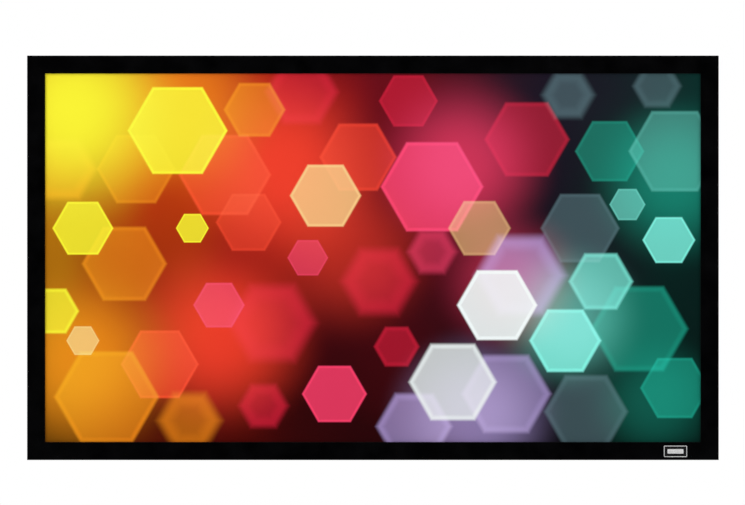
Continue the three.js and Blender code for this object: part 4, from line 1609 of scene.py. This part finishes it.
# %% Badge materials
def bright_metal_material():
    material = new_material("brushed_bright_metal")
    tree = material.node_tree
    brushed = noise(tree, object_coordinates(tree, (40, 40, 2600)), scale=1, detail=3)
    streak = stretch(tree, brushed, 0, 1, start=0.36, end=0.64)
    return shade(material, {
        "Base Color": blend(tree, streak, (0.50, 0.50, 0.50, 1), (0.80, 0.80, 0.80, 1)),
        "Metallic": 0.9,
        "Roughness": stretch(tree, brushed, 0.26, 0.42),
        "Normal": bump(tree, brushed, distance=0.02 * MM, strength=0.5),
    })


def black_enamel_material():
    material = new_material("black_enamel")
    tree = material.node_tree
    cloud = noise(tree, object_coordinates(tree), scale=90, detail=3)
    return shade(material, {
        "Base Color": blend(tree, cloud, (0.001, 0.001, 0.0012, 1), (0.004, 0.004, 0.0045, 1)),
        "Roughness": stretch(tree, cloud, 0.30, 0.42),
        "Specular IOR Level": 0.12,
    })


bright_metal, black_enamel = bright_metal_material(), black_enamel_material()

# %% [markdown]
# The plate starts as a plane. Its four corners are rounded by bevelling the points, it is extruded
# to its thickness, and the front is inset by the rim's width and pushed in, which is what the
# stamp does. A boolean could sink the field too, but the inset follows the corners by itself.

# %% Stamp the badge
BADGE_RADIUS, BADGE_RIM, BADGE_SUNK = 2.5 * MM, 2.2 * MM, 0.5 * MM
PANEL_HALF_WIDTH, PANEL_HALF_HEIGHT, PANEL_RADIUS = 27 * MM, 7.5 * MM, 1.5 * MM
PANEL_SET = 0.1 * MM  # how far the panel lies behind the rim, and into the field
badge_low, badge_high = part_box("badge_plate")
badge_middle = (badge_low + badge_high) / 2


def stamp_plate():
    forwards = badge_low.y - badge_high.y
    clean_start()
    bpy.ops.mesh.primitive_plane_add(size=1, location=(0, 0, 0), rotation=(math.pi / 2, 0, 0))
    plate = bpy.context.object
    plate.scale = (badge_high.x - badge_low.x, badge_high.z - badge_low.z, 1)
    plate.location = (badge_middle.x, badge_high.y, badge_middle.z)
    bpy.ops.object.transform_apply(location=True, rotation=True, scale=True)
    bpy.ops.object.mode_set(mode="EDIT")
    bpy.ops.mesh.select_all(action="SELECT")
    bpy.ops.mesh.bevel(offset=BADGE_RADIUS, segments=6, affect="VERTICES")
    bpy.ops.mesh.select_all(action="SELECT")
    bpy.ops.mesh.extrude_region_move(TRANSFORM_OT_translate={"value": (0, forwards, 0)})
    bpy.ops.mesh.inset(thickness=BADGE_RIM)
    bpy.ops.mesh.extrude_region_move(TRANSFORM_OT_translate={"value": (0, BADGE_SUNK, 0)})
    bpy.ops.object.mode_set(mode="OBJECT")
    outward(plate)
    return plate


print("badge", [round(side / MM, 1) for side in badge_high - badge_low], "mm")

# %% [markdown]
# The panel is a second outline, set a little way into the field so that no gap shows under it. The
# enamel lies only on the floor of the field, and that is found as the faces that look forwards from
# behind the rim.

# %% Set the panel and lay the enamel
def badge_panel():
    corners = []
    for sx, sz in ((-1, -1), (1, -1), (1, 1), (-1, 1)):
        x, z = badge_middle.x + sx * PANEL_HALF_WIDTH, badge_middle.z + sz * PANEL_HALF_HEIGHT
        corners.append((x, z, PANEL_RADIUS))
    front, back = badge_low.y + PANEL_SET, badge_low.y + BADGE_SUNK + PANEL_SET
    return upright_plate("badge_panel", rounded(corners, steps=4, closed=True), front, back)


def make_badge():
    plate, panel = stamp_plate(), badge_panel()
    for part in (plate, panel):
        part.data.materials.append(bright_metal)
    plate.data.materials.append(black_enamel)
    for face in plate.data.polygons:
        is_field = face.normal.y < -0.9 and face.center.y > badge_low.y + BADGE_SUNK / 2
        face.material_index = 1 if is_field else 0
    badge = join("badge_plate_stamped", [plate, panel])
    soften(badge, radius=0.12 * MM, angle=50)
    smooth(badge)
    finished(badge, "badge_enamel", "badge_plate")


make_badge()

# %% [markdown]
# ## Floor
# The screen hangs, so the floor is some way below it. A backdrop with a curved foot would show its
# bend in some views. Instead the floor is plain pale near the screen, where it keeps the shadow,
# and fades into the white of the background further off, so no horizon shows. From below it can't
# be seen at all.

# %% Floor material
FLOOR_DROP = 0.55
FLOOR_SIZE = 60.0
FADE_START, FADE_END = 1.3, 3.2  # metres from the middle of the floor
FLOOR_LIFT = 0.2  # light added to what the camera sees, so that the pale floor comes near to white


def fade_with_distance(tree, coordinates):
    parts = add(tree, "SeparateXYZ", {"Vector": coordinates}).outputs
    flat = add(tree, "CombineXYZ", {"X": parts["X"], "Y": parts["Y"], "Z": 0.0}).outputs["Vector"]
    away = vector_maths(tree, "LENGTH", flat)["Value"]
    return stretch(tree, away, 0.0, 1.0, start=FADE_START, end=FADE_END, curve="SMOOTHSTEP")


def floor_material():
    material = new_material("pale_floor")
    tree = material.node_tree
    coordinates = add(tree, "TexCoord").outputs["Object"]
    far = fade_with_distance(tree, coordinates)
    seen = add(tree, "LightPath").outputs["Is Camera Ray"]
    mottle = stretch(tree, noise(tree, coordinates, scale=3, detail=4), 0, 1)
    pale = add(tree, "BsdfPrincipled", {
        "Base Color": blend(tree, mottle, (0.84, 0.84, 0.84, 1), (0.87, 0.87, 0.87, 1)),
        "Roughness": 0.8,
        "Specular IOR Level": 0.2,
    }).outputs["BSDF"]
    seen_lift = maths(tree, "MULTIPLY", seen, FLOOR_LIFT)
    lift = add(tree, "Emission", {"Strength": seen_lift}).outputs["Emission"]
    near = add(tree, "AddShader", {0: pale, 1: lift}).outputs["Shader"]
    white = add(tree, "Emission", {"Color": (1, 1, 1, 1), "Strength": 1.0}).outputs["Emission"]
    seen_far = maths(tree, "MULTIPLY", far, seen)
    top = add(tree, "MixShader", {"Fac": seen_far, 1: near, 2: white}).outputs["Shader"]
    below = add(tree, "BsdfTransparent").outputs["BSDF"]
    under = add(tree, "NewGeometry").outputs["Backfacing"]
    surface = add(tree, "MixShader", {"Fac": under, 1: top, 2: below}).outputs["Shader"]
    add(tree, "OutputMaterial", {"Surface": surface})
    return material


pale_floor = floor_material()
print("the floor fades from", FADE_START, "to", FADE_END, "m")

# %% [markdown]
# The floor is a single face. It is part of the stage and not of the screen.

# %% Lay the floor
clean_start()
bpy.ops.mesh.primitive_plane_add(size=FLOOR_SIZE, location=(0, 0, 0))
floor = bpy.context.object
floor.name = floor.data.name = "floor"
floor.data.transform(Matrix.Translation((0, 0, -UPRIGHT - BORDER - FLOOR_DROP)))
floor.data.materials.append(pale_floor)
print("the floor lies at", round(floor.data.vertices[0].co.z, 3), "m")

# %% [markdown]
# ## Light
# The photograph's background is plain white, and so is the world to the camera and in reflections.
# A white world at full strength would light the black velvet grey, so to the pieces themselves it
# is only about half as strong.

# %% World
AMBIENT = 0.54
world = bpy.data.worlds.new("studio")
bpy.context.scene.world = world
world.use_nodes = True
tree = world.node_tree
tree.nodes.clear()
path = add(tree, "LightPath").outputs
seen = maths(tree, "MAXIMUM", path["Is Camera Ray"], path["Is Glossy Ray"])
seen = maths(tree, "MAXIMUM", seen, path["Is Transmission Ray"])
strength = stretch(tree, seen, AMBIENT, 1.0, start=0, end=1)
background = add(tree, "Background", {"Color": (1, 1, 1, 1), "Strength": strength})
add(tree, "OutputWorld", {"Surface": background.outputs["Background"]})
print("world strength", AMBIENT, "on the object and 1.0 to the camera")

# %% [markdown]
# Three large lamps give the metal something to shine with: a key from the left, a weaker fill from
# the right, and one behind for the back of the frame. Small strong lamps would clip the zinc and
# the springs to white, so each lamp is nearly twice as wide as the screen.

# %% Lamps
LAMPS = [  # name, place, size in metres, watts
    ("key", (-3.2, -3.6, 2.6), 4.0, 103),
    ("fill", (3.6, -3.2, 1.2), 4.0, 60),
    ("rear", (1.6, 3.6, 2.4), 4.4, 76),
]

for name, place, size, watts in LAMPS:
    light = bpy.data.lights.new(name, "AREA")
    light.energy = watts
    light.size = size
    lamp = bpy.data.objects.new(name, light)
    bpy.context.scene.collection.objects.link(lamp)
    lamp.location = place
    lamp.rotation_euler = (-Vector(place)).to_track_quat("-Z", "Y").to_euler()
    print(name, "lamp:", watts, "W from", place)

# %% [markdown]
# ## Camera
# The photograph is taken square on. What decides the view is the distance, which sets how much of
# the inner lip shows, and the scale, which sets the focal length. Both could be found by trial.
# Here the frame's width in the photograph gives the size of a pixel on the screen, and that gives
# the lens. The lens axis meets the screen a little above its middle.

# %% Camera
IMAGE_WIDTH, IMAGE_HEIGHT = 745, 505
FRAME_WIDTH_PX = 692.2
FRAME_MIDDLE_PX = (372.9, 257.8)
CAMERA_DISTANCE = 6.0
SENSOR = 36.0
pixel = 2 * (ACROSS + BORDER) / FRAME_WIDTH_PX

camera_data = bpy.data.cameras.new("camera")
camera_data.sensor_width = SENSOR
camera_data.lens = SENSOR * CAMERA_DISTANCE / (IMAGE_WIDTH * pixel)
camera = bpy.data.objects.new("camera", camera_data)
bpy.context.scene.collection.objects.link(camera)
camera.location = (
    (IMAGE_WIDTH / 2 - FRAME_MIDDLE_PX[0]) * pixel,
    FRONT - CAMERA_DISTANCE,
    (FRAME_MIDDLE_PX[1] - IMAGE_HEIGHT / 2) * pixel,
)
camera.rotation_euler = (math.pi / 2, 0, 0)
bpy.context.scene.camera = camera
bpy.context.scene.view_settings.view_transform = "Standard"
print("lens", round(camera_data.lens, 1), "mm at", CAMERA_DISTANCE, "m")
